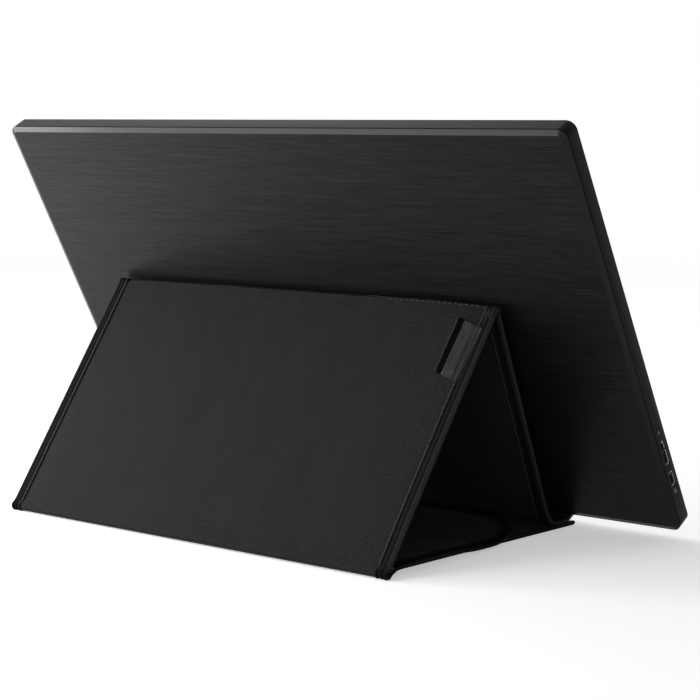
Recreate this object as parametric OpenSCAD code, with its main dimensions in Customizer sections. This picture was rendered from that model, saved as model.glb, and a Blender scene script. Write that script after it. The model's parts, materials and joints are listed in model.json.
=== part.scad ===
// Portable monitor standing on its folded fabric cover.
// Millimetres, +Z up. The screen faces -Y and leans back; the cover stands behind it as a
// triangular prism. X = 0 is the middle of the monitor, Z = 0 is the table.

/* [Monitor] */
// Width of the monitor
mon_w = 382; // [370:1:400]
// Height of the monitor along its leaning back
mon_h = 236; // [228:1:250]
// Thickness of the monitor
mon_t = 10.5; // [10:0.1:12]
// Lean of the monitor back from the vertical, in degrees
mon_tilt = 28.4; // [26:0.1:29]
// Height of the monitor's lower back edge above the table
mon_lift = 5.8; // [5.6:0.1:7]
// Radius of the monitor's corners
mon_corner = 5; // [4:0.5:7]
// Depth of the sloping edge of the rear cover
rear_edge_depth = 1.45; // [1:0.05:1.8]
// Width of the sloping edge of the rear cover
rear_edge_width = 3; // [2:0.1:4]
// Width of the window in the front bezel
window_w = 347; // [340:1:352]
// Height of the window in the front bezel
window_h = 196; // [190:1:200]
// Distance from the lower edge of the monitor to the window
window_low = 25; // [22:1:28]

/* [Sockets and buttons] */
// Height of the middle of the data socket above the monitor's lower edge
port_up = 47; // [44:0.5:52]
// Height of the middle of the lock slot above the monitor's lower edge
lock_up = 31; // [28:0.5:33]
// Distance of the sockets' middle plane from the back
socket_depth = 5.5; // [5.4:0.1:5.7]
// Travel of the push buttons
button_travel = 0.5; // [0.3:0.1:0.6]
// Distance of the power button from the middle of the monitor
power_button_x = 172; // [168:1:174]
// Distance of the brightness button from the middle of the monitor
brightness_button_x = 158; // [154:1:160]

/* [Cover] */
// Width of the cover
cover_w = 269; // [250:1:290]
// Sideways offset of the cover from the middle of the monitor
cover_x = 10; // [-15:0.5:15]
// Lean of the front panel from the vertical, in degrees
front_lean = 22.5; // [22:0.1:23]
// Slope of the rear panel above the table, in degrees
rear_slope = 53.9; // [53:0.1:55]
// Length of the front panel from the table to the ridge
front_len = 129.2; // [128:0.1:131]
// Thickness of a stiffened panel without its edge binding
panel_t = 2.6; // [2.4:0.1:2.8]
// Thickness of the edge binding on a panel
binding_t = 3.6; // [3.2:0.1:3.8]
// Width of the edge binding on the face of a panel
binding_leg = 6.5; // [5:0.5:8]
// Radius of the rounded corners of the rear flap
flap_corner = 50; // [30:1:60]
// Length and width of the label tab
tab_size = [34, 13]; // [10:1:40]
// How far each long edge of the base draws in towards the rear
base_draw_in = 11.5; // [0:0.5:14]

/* [Hidden] */
$fn = 48;

slit = 0.1; // play between pieces that only lie against each other
skin_t = 0.5; // fabric or lining of a panel
board_t = panel_t - 2 * skin_t;
base_t = 2.4; // base panel, bound flush
flap_t = 2; // flap without binding
flap_binding_t = 2.8;
flap_board_t = flap_t - 2 * skin_t;
stack_inset = 1.2; // the skins stop this far inside the outer edge of the tape
board_inset = 4; // the boards stop short of the sewn edges
panel_corner = 3;

cover_x0 = cover_x - cover_w / 2;
base_y0 = -5;
base_y1 = 148;
base_hem = 3; // sewn edge in front of and behind the base's board

// Tray and curl: the fabric runs forward from the front panel under the monitor
tray_mid = base_t + panel_t / 2;
tray_y0 = 1;
curl_turn = 90 - front_lean;
curl_r = 14.3;
curl_tangent = curl_r * tan(curl_turn / 2);
front_foot = [18.5, tray_mid];
curl_y0 = front_foot[0] - curl_tangent;
curl_gap = 0.9; // soft stretch between the curl and the stiff panel
front_start = curl_tangent + curl_gap;

// Ridge and rear panel
ridge = front_foot + front_len * [cos(curl_turn), sin(curl_turn)];
fold_r = panel_t / 2;
ridge_back = 5.5; // the stiff panels stop this short of the ridge
hem_z = 1.5;
rear_len = (ridge[1] - hem_z) / sin(rear_slope);
hem = [ridge[0] + rear_len * cos(rear_slope), hem_z];
hem_back = 5; // and this short of the hem
rear_stop = rear_len - hem_back;

// Flap, lying on the base
flap_z0 = base_t + 0.7;
flap_y0 = 19.5;
flap_y1 = 149;
flap_mid = flap_z0 + flap_t / 2;

// Magnets of the closure
magnet_d = 10;
magnet_t = 0.8;
magnet_x = 85; // distance from the middle of the cover
magnet_y = 60;

// Monitor stack, measured forward from the back plane
wall_t = 1.5;
lip_t = 1.1;
lip_w0 = mon_t - lip_t;
seam_w = rear_edge_depth;
gasket_t = 0.2;
cell_t = 1.3;
cell_w1 = lip_w0 - gasket_t;
cell_w0 = cell_w1 - cell_t;
films_t = 0.4;
films_w1 = cell_w0 - slit;
guide_t = 0.9;
guide_w1 = films_w1 - films_t - slit;
reflector_t = 0.2;
reflector_w1 = guide_w1 - guide_t - slit;
tray_plate_t = 0.4;
tray_plate_w1 = reflector_w1 - reflector_t - slit;
tray_plate_w0 = tray_plate_w1 - tray_plate_t;
window_mid = window_low + window_h / 2;
cell_size = [window_w + 4, window_h + 7];
frame_wall = 1.6;
frame_inner = cell_size + [0.6, 0.6];
frame_outer = frame_inner + 2 * [frame_wall, frame_wall];
tray_size = frame_outer + 2 * [tray_plate_t + slit, tray_plate_t + slit];
panel_low = window_mid - tray_size[1] / 2;

board_w0 = 2.8;
board_t1 = 1;
board_w1 = board_w0 + board_t1;
main_board_x = -186.5;
main_board_size = [90, 62];
main_board_low = 20;
can_x = main_board_x + 48;
can_low = main_board_low + 18;
can_size = 26;
screw_r = 0.75;
screw_head_r = 1.8;
boss_r = 2.2;
board_screw_spots = [for (x = [12, 84]) for (v = [5, 57]) [main_board_x + x, main_board_low + v]];

driver_w0 = 6.5;
driver_t = 0.8;
driver_len = 280;
driver_low = 4.5;
driver_h = 9.5;

button_up = 11;
button_size = [8, 3];
button_corner = 1.4;
button_play = 0.15;
button_proud = 0.4;
button_flange = [10, 5];
button_flange_t = 0.4;
button_flange_w1 = lip_w0 - slit;
switch_play = 0.2; // left between a pressed button and its switch
switch_w1 = button_flange_w1 - button_flange_t - button_travel - switch_play;
button_board_w0 = 6;
button_board_t = 1;
button_board_x = [144, 184];
button_board_low = 5;
button_board_h = 11;
button_screw_spots = [[147.5, 10.5], [180.5, 10.5]];
light_x = 165;
light_r = 0.8;

port_len = 14;
port_h = 3.2;
port_shell_t = 0.3;
port_shell_depth = 9;
port_recess = 0.1;
lock_len = 7.2;
lock_h = 3.2;
lock_collar_t = 0.3;

// Ledge: a sewn channel that the monitor's lower edge stands in
ledge_t = 1.6;
ledge_play = 0.25;
ledge_back = 1.2;
ledge_lip_h = 9;
ledge_w1 = mon_t + 0.3 + ledge_t;

// The origin is the middle of the whole outline, on the table
outline_front = -ledge_w1 * cos(mon_tilt) - (ledge_play + ledge_t) * sin(mon_tilt);
outline_rear = hem[0] + fold_r;
origin_y = (outline_front + outline_rear) / 2;

// ---------- placing ----------

// Pieces are drawn with Y = 0 under the monitor's lower back edge. Left and right are as seen
// from behind the monitor, so the right edge is at -X.
module on_table() {
    translate([0, -origin_y, 0]) children();
}

// Local Z runs up the monitor's back, local -Y runs forward through its thickness
module on_monitor() {
    on_table() translate([0, 0, mon_lift]) rotate([-mon_tilt, 0, 0]) children();
}

// Local Y runs up the front panel, local Z points at the monitor
module on_front_panel() {
    on_table() translate([0, front_foot[0], front_foot[1]]) rotate([curl_turn, 0, 0]) children();
}

// Local Y runs down the rear panel, local Z points out of the stand
module on_rear_panel() {
    on_table() translate([0, ridge[0], ridge[1]]) rotate([-rear_slope, 0, 0]) children();
}

// ---------- shared shapes ----------

// Flat rectangle with round corners, lower left corner at [x, y]
module round_rect(x, y, w, h, r) {
    translate([x + r, y]) square([w - 2 * r, h]);
    translate([x, y + r]) square([w, h - 2 * r]);
    for (cx = [x + r, x + w - r]) for (cy = [y + r, y + h - r]) translate([cx, cy]) circle(r);
}

// Upright slab of a panel between two heights
module slab(x, y, w, h, z0, z1, r = 0.5) {
    translate([0, 0, z0]) linear_extrude(z1 - z0) round_rect(x, y, w, h, r);
}

// Slab in the monitor: centred on x, from v_low up, between two depths from the back
module mon_slab(x_mid, v_low, w, h, w0, w1, r = 0.5) {
    translate([0, -w0, 0]) rotate([90, 0, 0]) linear_extrude(w1 - w0)
        round_rect(x_mid - w / 2, v_low, w, h, r);
}

// Pin in the monitor along its depth
module mon_pin(x, v, r, w0, w1) {
    translate([x, -w0, v]) rotate([90, 0, 0]) cylinder(r = r, h = w1 - w0);
}

// Outline in the monitor drawn as [height, depth from the back] and run along X
module side_extrude(x0, length) {
    translate([x0, 0, 0]) rotate(a = 180, v = [1, 0, 1]) linear_extrude(length) children();
}

// Profile in the Y-Z plane, drawn as [y, z] and run along X
module along_x(x0, length) {
    translate([x0, 0, 0]) rotate([90, 0, 90]) linear_extrude(length) children();
}

// Straight run of cloth from a fold, in section
module cloth_run(length, thickness) {
    translate([0, -thickness / 2]) square([length, thickness]);
}

// Edge binding: a folded tape with a round nose, wrapped over the edge of a panel.
// side is -1 for the edge at x0 and 1 for the edge at x0 + w.
module edge_binding(side, x0, w, y0, y1, mid_z, stack_t, tape_t) {
    edge = side < 0 ? x0 : x0 + w;
    nose = tape_t / 2;
    slot_x = side < 0 ? edge + stack_inset : edge - binding_leg - 1;
    difference() {
        translate([0, y0, mid_z]) rotate([-90, 0, 0]) linear_extrude(y1 - y0) union() {
            translate([edge - side * nose, 0]) circle(nose);
            translate([side < 0 ? edge + nose : edge - binding_leg, -nose])
                square([binding_leg - nose, tape_t]);
        }
        translate([slot_x, y0 - 1, mid_z - stack_t / 2])
            cube([binding_leg - stack_inset + 1, y1 - y0 + 2, stack_t]);
    }
}

// ---------- base body ----------

// Long edge of the base at y, pulled in by inset. side is -1 for the right edge.
function base_edge(side, y, inset) = cover_x
    + side * (cover_w / 2 - inset - base_draw_in * (y - base_y0) / (base_y1 - base_y0));

// Layer of the base, pulled in by inset at its long edges and by hem at its short ones
module base_layer(inset, hem, z0, z1) {
    y0 = base_y0 + hem;
    y1 = base_y1 - hem;
    translate([0, 0, z0]) linear_extrude(z1 - z0)
        polygon([[base_edge(-1, y0, inset), y0], [base_edge(1, y0, inset), y0],
            [base_edge(1, y1, inset), y1], [base_edge(-1, y1, inset), y1]]);
}

module base_fabric() {
    color([0.1, 0.1, 0.1]) on_table() base_layer(binding_leg, 0, 0, skin_t);
}

module base_board_slab() {
    base_layer(board_inset, base_hem, skin_t, base_t - skin_t);
}

module base_magnet_spots() {
    for (side = [-1, 1])
        translate([cover_x + side * magnet_x, magnet_y, base_t - skin_t - magnet_t]) children();
}

module base_board() {
    color([0.3, 0.28, 0.25]) on_table() difference() {
        base_board_slab();
        base_magnet_spots() cylinder(d = magnet_d + 2 * slit, h = magnet_t + 1);
    }
}

module base_lining() {
    color([0.14, 0.14, 0.14]) on_table() base_layer(binding_leg, 0, base_t - skin_t, base_t);
}

// The base is bound flush: its tape lies beside the fabric, over the edge of the board
module base_binding(side) {
    color([0.16, 0.16, 0.16]) on_table() difference() {
        linear_extrude(base_t)
            polygon([for (spot = [[base_y0, 0], [base_y1, 0], [base_y1, binding_leg],
                [base_y0, binding_leg]]) [base_edge(side, spot[0], spot[1]), spot[0]]]);
        base_board_slab();
    }
}

module base_binding_left() { base_binding(1); }
module base_binding_right() { base_binding(-1); }

module base_magnets() {
    color([0.6, 0.6, 0.62]) on_table() base_magnet_spots()
        cylinder(d = magnet_d, h = magnet_t - slit / 2);
}

module tray_strip() {
    nose = panel_t / 2;
    color([0.12, 0.12, 0.12]) on_table() along_x(cover_x0, cover_w) union() {
        translate([tray_y0 + nose, tray_mid]) circle(nose);
        translate([tray_y0 + nose, base_t]) square([curl_y0 - tray_y0 - nose, panel_t]);
    }
}

module curl_fold() {
    mid = [curl_y0, tray_mid + curl_r];
    reach = 3 * curl_r;
    color([0.12, 0.12, 0.12]) on_table() along_x(cover_x0, cover_w) intersection() {
        translate(mid) difference() {
            circle(curl_r + panel_t / 2, $fn = 96);
            circle(curl_r - panel_t / 2, $fn = 96);
        }
        translate(mid) polygon([[0, 0], [0, -reach], [reach, -reach],
            [reach * sin(curl_turn), -reach * cos(curl_turn)]]);
    }
}

// ---------- front panel body ----------

front_stop = front_len - ridge_back;

module front_skin(z0, z1) {
    on_front_panel() slab(cover_x0 + stack_inset, front_start, cover_w - 2 * stack_inset,
        front_stop - front_start, z0, z1);
}

module front_panel_fabric() {
    color([0.1, 0.1, 0.1]) front_skin(board_t / 2, panel_t / 2);
}

module front_panel_board() {
    color([0.3, 0.28, 0.25]) on_front_panel()
        slab(cover_x0 + board_inset, front_start + 1, cover_w - 2 * board_inset,
            front_stop - front_start - 2, -board_t / 2, board_t / 2, panel_corner);
}

module front_panel_lining() {
    color([0.14, 0.14, 0.14]) front_skin(-panel_t / 2, -board_t / 2);
}

module front_binding(side) {
    color([0.16, 0.16, 0.16]) on_front_panel()
        edge_binding(side, cover_x0, cover_w, front_start, front_stop, 0, panel_t, binding_t);
}

module front_binding_left() { front_binding(1); }
module front_binding_right() { front_binding(-1); }

// Both panels run on as soft cloth and meet in a round fold at the ridge
module ridge_fold() {
    color([0.12, 0.12, 0.12]) on_table() along_x(cover_x0, cover_w) translate(ridge) {
        circle(fold_r);
        rotate(curl_turn + 180) cloth_run(ridge_back - slit, panel_t);
        rotate(-rear_slope) cloth_run(ridge_back - slit, panel_t);
    }
}

// ---------- rear panel body ----------

module rear_skin(z0, z1) {
    on_rear_panel() slab(cover_x0 + stack_inset, ridge_back, cover_w - 2 * stack_inset,
        rear_stop - ridge_back, z0, z1);
}

module rear_panel_fabric() {
    color([0.18, 0.18, 0.18]) rear_skin(board_t / 2, panel_t / 2);
}

module rear_panel_board() {
    color([0.3, 0.28, 0.25]) on_rear_panel()
        slab(cover_x0 + board_inset, ridge_back + 1, cover_w - 2 * board_inset,
            rear_stop - ridge_back - 2, -board_t / 2, board_t / 2, panel_corner);
}

module rear_panel_lining() {
    color([0.14, 0.14, 0.14]) rear_skin(-panel_t / 2, -board_t / 2);
}

module rear_binding(side) {
    color([0.16, 0.16, 0.16]) on_rear_panel()
        edge_binding(side, cover_x0, cover_w, ridge_back, rear_stop, 0, panel_t, binding_t);
}

module rear_binding_left() { rear_binding(1); }
module rear_binding_right() { rear_binding(-1); }

module label_tab() {
    tab_t = 0.9;
    tab_drop = 4.5; // from the ridge's soft cloth down to the tab
    color([0.25, 0.25, 0.25]) on_rear_panel()
        slab(cover_x0 + binding_leg + slit, ridge_back + tab_drop, tab_size[1], tab_size[0],
            panel_t / 2, panel_t / 2 + tab_t, 1);
}

// Rear panel and flap run on as soft cloth and meet in a round fold at the hem
module hem_fold() {
    run = [flap_y1 + 0.6, flap_mid] - hem;
    color([0.12, 0.12, 0.12]) on_table() along_x(cover_x0, cover_w) translate(hem) {
        circle(fold_r);
        rotate(180 - rear_slope) cloth_run(hem_back - slit, panel_t);
        rotate(atan2(run[1], run[0])) cloth_run(norm(run), flap_t);
    }
}

// ---------- flap body ----------

// Outline of the flap, rounded at its free end, pulled in by inset at the sides and tip
module flap_outline(inset) {
    r = flap_corner - inset;
    x0 = cover_x0 + inset;
    w = cover_w - 2 * inset;
    y0 = flap_y0 + inset;
    translate([x0, y0 + r]) square([w, flap_y1 - y0 - r]);
    translate([x0 + r, y0]) square([w - 2 * r, r + 1]);
    for (cx = [x0 + r, x0 + w - r]) translate([cx, y0 + r]) circle(r, $fn = 96);
}

module flap_layer(inset, z0, z1) {
    on_table() translate([0, 0, z0]) linear_extrude(z1 - z0) flap_outline(inset);
}

module flap_fabric() {
    color([0.1, 0.1, 0.1]) flap_layer(stack_inset, flap_z0, flap_z0 + skin_t);
}

module flap_board() {
    color([0.3, 0.28, 0.25]) difference() {
        on_table() translate([0, 0, flap_z0 + skin_t]) linear_extrude(flap_board_t) intersection() {
            flap_outline(board_inset);
            translate([cover_x0, flap_y0]) square([cover_w, flap_y1 - flap_y0 - 1]);
        }
        on_table() for (side = [-1, 1]) translate([cover_x + side * magnet_x, magnet_y, flap_z0])
            cylinder(d = magnet_d + 2 * slit, h = flap_t);
    }
}

module flap_lining() {
    color([0.2, 0.2, 0.2]) flap_layer(stack_inset, flap_z0 + flap_t - skin_t, flap_z0 + flap_t);
}

module flap_binding() {
    tape_z0 = flap_mid - flap_binding_t / 2;
    color([0.16, 0.16, 0.16]) difference() {
        flap_layer(0, tape_z0, tape_z0 + flap_binding_t);
        on_table() translate([0, 0, tape_z0 - 1]) linear_extrude(flap_binding_t + 2) union() {
            flap_outline(binding_leg);
            translate([cover_x0 + binding_leg, flap_y1 - 1])
                square([cover_w - 2 * binding_leg, 2]);
        }
        on_table() translate([0, 0, flap_z0]) linear_extrude(flap_t) union() {
            flap_outline(stack_inset);
            translate([cover_x0 + stack_inset, flap_y1 - 1])
                square([cover_w - 2 * stack_inset, 2]);
        }
    }
}

module flap_magnets() {
    color([0.6, 0.6, 0.62]) on_table() for (side = [-1, 1])
        translate([cover_x + side * magnet_x, magnet_y, flap_z0 + skin_t + slit])
            cylinder(d = magnet_d, h = magnet_t);
}

// ---------- ledge body ----------

module ledge_strip() {
    color([0.12, 0.12, 0.12]) on_monitor()
        translate([cover_x0, -(mon_t + 0.3), -(ledge_play + ledge_t)])
            cube([cover_w, mon_t + 0.3 + ledge_back, ledge_t]);
}

module ledge_lip() {
    nose = ledge_t / 2;
    color([0.12, 0.12, 0.12]) on_monitor() along_x(cover_x0, cover_w) union() {
        translate([-ledge_w1, -(ledge_play + ledge_t)])
            square([ledge_t, ledge_lip_h + ledge_play + ledge_t - nose]);
        translate([-ledge_w1 + nose, ledge_lip_h - nose]) circle(nose);
    }
}

// ---------- monitor body ----------

// Section of the rear cover's plate: full size at the seam, sloped in to the back plane
module sloped_profile(size) {
    polygon([[0, seam_w], [rear_edge_width, 0], [size - rear_edge_width, 0], [size, seam_w]]);
}

module rear_cover() {
    color([0.2, 0.2, 0.21]) on_monitor() {
        intersection() {
            mon_slab(0, 0, mon_w, mon_h, 0, seam_w, mon_corner);
            translate([-mon_w / 2, 0, -1]) linear_extrude(mon_h + 2) mirror([0, 1])
                sloped_profile(mon_w);
            side_extrude(-mon_w / 2 - 1, mon_w + 2) sloped_profile(mon_h);
        }
        inner_rim();
        for (spot = board_screw_spots) difference() {
            mon_pin(spot[0], spot[1], boss_r, seam_w, board_w0);
            mon_pin(spot[0], spot[1], screw_r + 0.05, seam_w + 0.3, board_w0 + 1);
        }
    }
}

// Rim of the rear cover that locates inside the bezel's walls
module inner_rim() {
    rim_t = 1;
    rim_deep = 1.4;
    inset = wall_t + 0.15;
    socket_gap = [lock_up - 8, 32]; // start and height of the gap beside the sockets
    difference() {
        mon_slab(0, inset, mon_w - 2 * inset, mon_h - 2 * inset, seam_w, seam_w + rim_deep,
            mon_corner - inset);
        mon_slab(0, inset + rim_t, mon_w - 2 * (inset + rim_t), mon_h - 2 * (inset + rim_t),
            seam_w - 1, seam_w + rim_deep + 1, mon_corner - inset - rim_t);
        translate([-mon_w / 2, -(seam_w + rim_deep + 1), socket_gap[0]])
            cube([inset + 2 * rim_t, rim_deep + 1, socket_gap[1]]);
    }
}

module front_bezel() {
    color([0.08, 0.08, 0.085]) on_monitor() {
        difference() {
            mon_slab(0, 0, mon_w, mon_h, seam_w, mon_t, mon_corner);
            mon_slab(0, wall_t, mon_w - 2 * wall_t, mon_h - 2 * wall_t, seam_w - 1, lip_w0,
                mon_corner - wall_t);
            mon_slab(0, window_low, window_w, window_h, lip_w0 - 1, mon_t + 1, 1);
            port_cut(0.15);
            lock_cut();
            for (x = [power_button_x, brightness_button_x])
                mon_slab(x, button_up - button_size[1] / 2 - button_play,
                    button_size[0] + 2 * button_play, button_size[1] + 2 * button_play,
                    lip_w0 - 1, mon_t + 1, button_corner + button_play);
            mon_pin(light_x, button_up, light_r + 0.05, lip_w0 - 1, mon_t + 1);
        }
        for (spot = button_screw_spots) difference() {
            mon_pin(spot[0], spot[1], boss_r, button_board_w0 + button_board_t, lip_w0);
            mon_pin(spot[0], spot[1], screw_r + 0.05, button_board_w0, lip_w0 - 0.4);
        }
    }
}

// Outline of the data socket: a wide lobe and a narrow lobe, drawn as [v, depth]
module port_outline(grow) {
    wide = 8.6;
    narrow = 5.2;
    narrow_h = port_h - 0.6;
    waist_h = 1.6;
    r = 0.8 + grow;
    low = port_up - port_len / 2;
    round_rect(low - grow, socket_depth - port_h / 2 - grow, wide + 2 * grow, port_h + 2 * grow, r);
    round_rect(low + port_len - narrow - grow, socket_depth - narrow_h / 2 - grow,
        narrow + 2 * grow, narrow_h + 2 * grow, r);
    translate([low + wide - 1, socket_depth - waist_h / 2])
        square([port_len - wide - narrow + 2, waist_h]);
}

module port_cut(grow) {
    side_extrude(-mon_w / 2 - 1, wall_t + 2) port_outline(grow);
}

// Outline of the lock slot, drawn as [v, depth]
module lock_outline(grow) {
    round_rect(lock_up - lock_len / 2 - grow, socket_depth - lock_h / 2 - grow,
        lock_len + 2 * grow, lock_h + 2 * grow, 1 + grow);
}

module lock_cut() {
    side_extrude(-mon_w / 2 - 1, wall_t + 2) lock_outline(lock_collar_t + slit / 2);
}

module lcd_cell() {
    color([0.02, 0.02, 0.03]) on_monitor() mon_slab(0, window_mid - cell_size[1] / 2,
        cell_size[0], cell_size[1], cell_w0, cell_w1);
}

module screen_gasket() {
    color([0.1, 0.1, 0.1]) on_monitor() difference() {
        mon_slab(0, window_mid - cell_size[1] / 2, cell_size[0], cell_size[1], cell_w1, lip_w0);
        mon_slab(0, window_low - 0.5, window_w + 1, window_h + 1, cell_w1 - 1, lip_w0 + 1, 1);
    }
}

module optical_films() {
    color([0.9, 0.9, 0.92]) on_monitor() mon_slab(0, window_mid - cell_size[1] / 2 + 1,
        cell_size[0] - 2, cell_size[1] - 2, films_w1 - films_t, films_w1);
}

module light_guide() {
    color([0.85, 0.9, 0.95]) on_monitor() mon_slab(0, window_mid - cell_size[1] / 2 + 3,
        cell_size[0] - 2, cell_size[1] - 4, guide_w1 - guide_t, guide_w1);
}

module reflector_sheet() {
    color([0.95, 0.95, 0.95]) on_monitor() mon_slab(0, window_mid - cell_size[1] / 2 + 1,
        cell_size[0] - 2, cell_size[1] - 2, reflector_w1 - reflector_t, reflector_w1);
}

module led_strip() {
    strip_h = 0.6;
    strip_v = window_mid - cell_size[1] / 2 + 0.8;
    led_count = 36;
    led_pitch = 9.4;
    led_size = [4, 1.2];
    color([0.95, 0.9, 0.6]) on_monitor() {
        mon_slab(0, strip_v, cell_size[0] - 6, strip_h, guide_w1 - guide_t, guide_w1, 0.1);
        for (i = [0:led_count - 1])
            mon_slab((i - (led_count - 1) / 2) * led_pitch, strip_v + strip_h, led_size[0],
                led_size[1], guide_w1 - guide_t + slit, guide_w1 - slit, 0.1);
    }
}

module panel_frame() {
    color([0.85, 0.85, 0.85]) on_monitor() difference() {
        mon_slab(0, window_mid - frame_outer[1] / 2, frame_outer[0], frame_outer[1],
            tray_plate_w1 + slit, cell_w1 - slit, 1);
        mon_slab(0, window_mid - frame_inner[1] / 2, frame_inner[0], frame_inner[1],
            tray_plate_w1 - 1, cell_w1 + 1);
    }
}

module panel_tray() {
    color([0.7, 0.71, 0.72]) on_monitor() {
        mon_slab(0, panel_low, tray_size[0], tray_size[1], tray_plate_w0, tray_plate_w1, 1.5);
        difference() {
            mon_slab(0, panel_low, tray_size[0], tray_size[1], tray_plate_w1, cell_w1 - slit, 1.5);
            mon_slab(0, panel_low + tray_plate_t, tray_size[0] - 2 * tray_plate_t,
                tray_size[1] - 2 * tray_plate_t, tray_plate_w1 - 1, cell_w1 + 1, 1.1);
        }
    }
}

// Foam between the rear cover and the panel's tray, clear of the main board
module foam_pads() {
    pad = 22;
    color([0.2, 0.2, 0.22]) on_monitor() for (x = [-60, 40, 140]) for (v = [60, 190])
        mon_slab(x, v - pad / 2, pad, pad, seam_w, tray_plate_w0 - slit, 1);
}

module driver_board() {
    chip_spots = [-110, -60, 0, 60, 110];
    chip_size = [12, 3.5, 0.8];
    driver_w1 = driver_w0 + driver_t;
    color([0.05, 0.3, 0.15]) on_monitor() {
        mon_slab(0, driver_low, driver_len, driver_h, driver_w0, driver_w1);
        for (x = chip_spots) mon_slab(x, driver_low + 3, chip_size[0], chip_size[1],
            driver_w1, driver_w1 + chip_size[2], 0.3);
    }
}

module main_board() {
    color([0.05, 0.3, 0.15]) on_monitor() difference() {
        mon_slab(main_board_x + main_board_size[0] / 2, main_board_low, main_board_size[0],
            main_board_size[1], board_w0, board_w1, 1);
        for (spot = board_screw_spots)
            mon_pin(spot[0], spot[1], screw_r + 0.3, board_w0 - 1, board_w1 + 1);
    }
}

// The processor sits under the shield can, the other chips on the board's front face.
// Each of those is [x, height, width and length, thickness].
module main_chips() {
    processor = 14;
    processor_t = 0.9;
    chips = [[48, 42, 9, 0.8], [30, 12, 6, 0.8], [66, 12, 7, 1.1]];
    color([0.1, 0.1, 0.1]) on_monitor() {
        mon_slab(can_x, can_low + (can_size - processor) / 2, processor, processor,
            board_w0 - processor_t, board_w0);
        for (chip = chips) mon_slab(main_board_x + chip[0], main_board_low + chip[1], chip[2],
            chip[2], board_w1, board_w1 + chip[3]);
    }
}

module shield_can() {
    can_wall = 0.2;
    can_h = 1.2;
    color([0.75, 0.75, 0.76]) on_monitor() difference() {
        mon_slab(can_x, can_low, can_size, can_size, board_w0 - can_h, board_w0, 0.5);
        mon_slab(can_x, can_low + can_wall, can_size - 2 * can_wall, can_size - 2 * can_wall,
            board_w0 - can_h + can_wall, board_w0 + 1, 0.3);
    }
}

// Ribbon from the main board down and forward to the panel's driver board
module flat_cable() {
    ribbon_t = 0.3;
    ribbon_w = 24;
    ribbon_x = main_board_x + 54; // clear of the board's screw heads
    top_v = main_board_low + 7;
    low_v = driver_low + 3;
    color([0.85, 0.82, 0.75]) on_monitor() side_extrude(ribbon_x, ribbon_w)
        polygon([[top_v, board_w1], [low_v, board_w1], [low_v, driver_w0], [driver_low + 8, driver_w0],
            [driver_low + 8, driver_w0 - ribbon_t], [low_v + ribbon_t, driver_w0 - ribbon_t],
            [low_v + ribbon_t, board_w1 + ribbon_t], [top_v, board_w1 + ribbon_t]]);
}

module data_port_shell() {
    x0 = -mon_w / 2 + port_recess;
    color([0.75, 0.74, 0.7]) on_monitor() difference() {
        side_extrude(x0, port_shell_depth) port_outline(0);
        side_extrude(x0 - 1, port_shell_depth + 0.5) port_outline(-port_shell_t);
    }
}

module data_port_tongue() {
    x0 = -mon_w / 2 + port_recess + 1.2;
    depth = port_shell_depth - 1.7;
    tongue_t = 0.8;
    tongues = [[1.6, 5.4], [10, 2.6]]; // start above the socket's lower end, and length
    color([0.08, 0.08, 0.08]) on_monitor() side_extrude(x0, depth) for (tongue = tongues)
        translate([port_up - port_len / 2 + tongue[0], socket_depth - tongue_t / 2])
            square([tongue[1], tongue_t]);
}

// Steel plate behind the wall, with a collar that lines the slot
module lock_slot_insert() {
    plate_t = 1.6;
    plate = [12, 4.6];
    color([0.75, 0.75, 0.76]) on_monitor() difference() {
        union() {
            side_extrude(-mon_w / 2 + wall_t + slit / 2, plate_t)
                round_rect(lock_up - plate[0] / 2, socket_depth - 2.4, plate[0], plate[1], 0.5);
            side_extrude(-mon_w / 2 + slit, wall_t) lock_outline(lock_collar_t);
        }
        side_extrude(-mon_w / 2 - 1, wall_t + plate_t + 3) lock_outline(0);
    }
}

module button_board() {
    color([0.05, 0.3, 0.15]) on_monitor() difference() {
        mon_slab((button_board_x[0] + button_board_x[1]) / 2, button_board_low,
            button_board_x[1] - button_board_x[0], button_board_h, button_board_w0,
            button_board_w0 + button_board_t);
        for (spot = button_screw_spots)
            mon_pin(spot[0], spot[1], screw_r + 0.2, button_board_w0 - 1, button_board_w0 + 2);
    }
}

module tact_switches() {
    case_size = [4.5, 4];
    plunger_r = 1;
    plunger_t = 0.4;
    color([0.75, 0.75, 0.76]) on_monitor() for (x = [power_button_x, brightness_button_x]) {
        mon_slab(x, button_up - case_size[1] / 2, case_size[0], case_size[1],
            button_board_w0 + button_board_t, switch_w1 - plunger_t);
        mon_pin(x, button_up, plunger_r, switch_w1 - plunger_t, switch_w1);
    }
}

module board_screws() {
    head_t = 0.9;
    color([0.7, 0.7, 0.7]) on_monitor() {
        for (spot = board_screw_spots) {
            mon_pin(spot[0], spot[1], screw_r, seam_w + 0.5, board_w1);
            mon_pin(spot[0], spot[1], screw_head_r, board_w1, board_w1 + head_t);
        }
        for (spot = button_screw_spots) {
            mon_pin(spot[0], spot[1], screw_r, button_board_w0, lip_w0 - 0.6);
            mon_pin(spot[0], spot[1], screw_head_r, button_board_w0 - head_t, button_board_w0);
        }
    }
}

module power_light_pipe() {
    lamp_gap = 0.6; // room for the lamp on the button board
    color([0.9, 0.95, 1]) on_monitor()
        mon_pin(light_x, button_up, light_r, button_board_w0 + button_board_t + lamp_gap,
            mon_t - slit / 2);
}

module push_button(x) {
    color([0.12, 0.12, 0.12]) on_monitor() {
        mon_slab(x, button_up - button_size[1] / 2, button_size[0], button_size[1],
            button_flange_w1, mon_t + button_proud, button_corner);
        mon_slab(x, button_up - button_flange[1] / 2, button_flange[0], button_flange[1],
            button_flange_w1 - button_flange_t, button_flange_w1, button_corner);
    }
}

module power_button() { push_button(power_button_x); }
module brightness_button() { push_button(brightness_button_x); }

// ---------- assembly ----------

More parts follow.
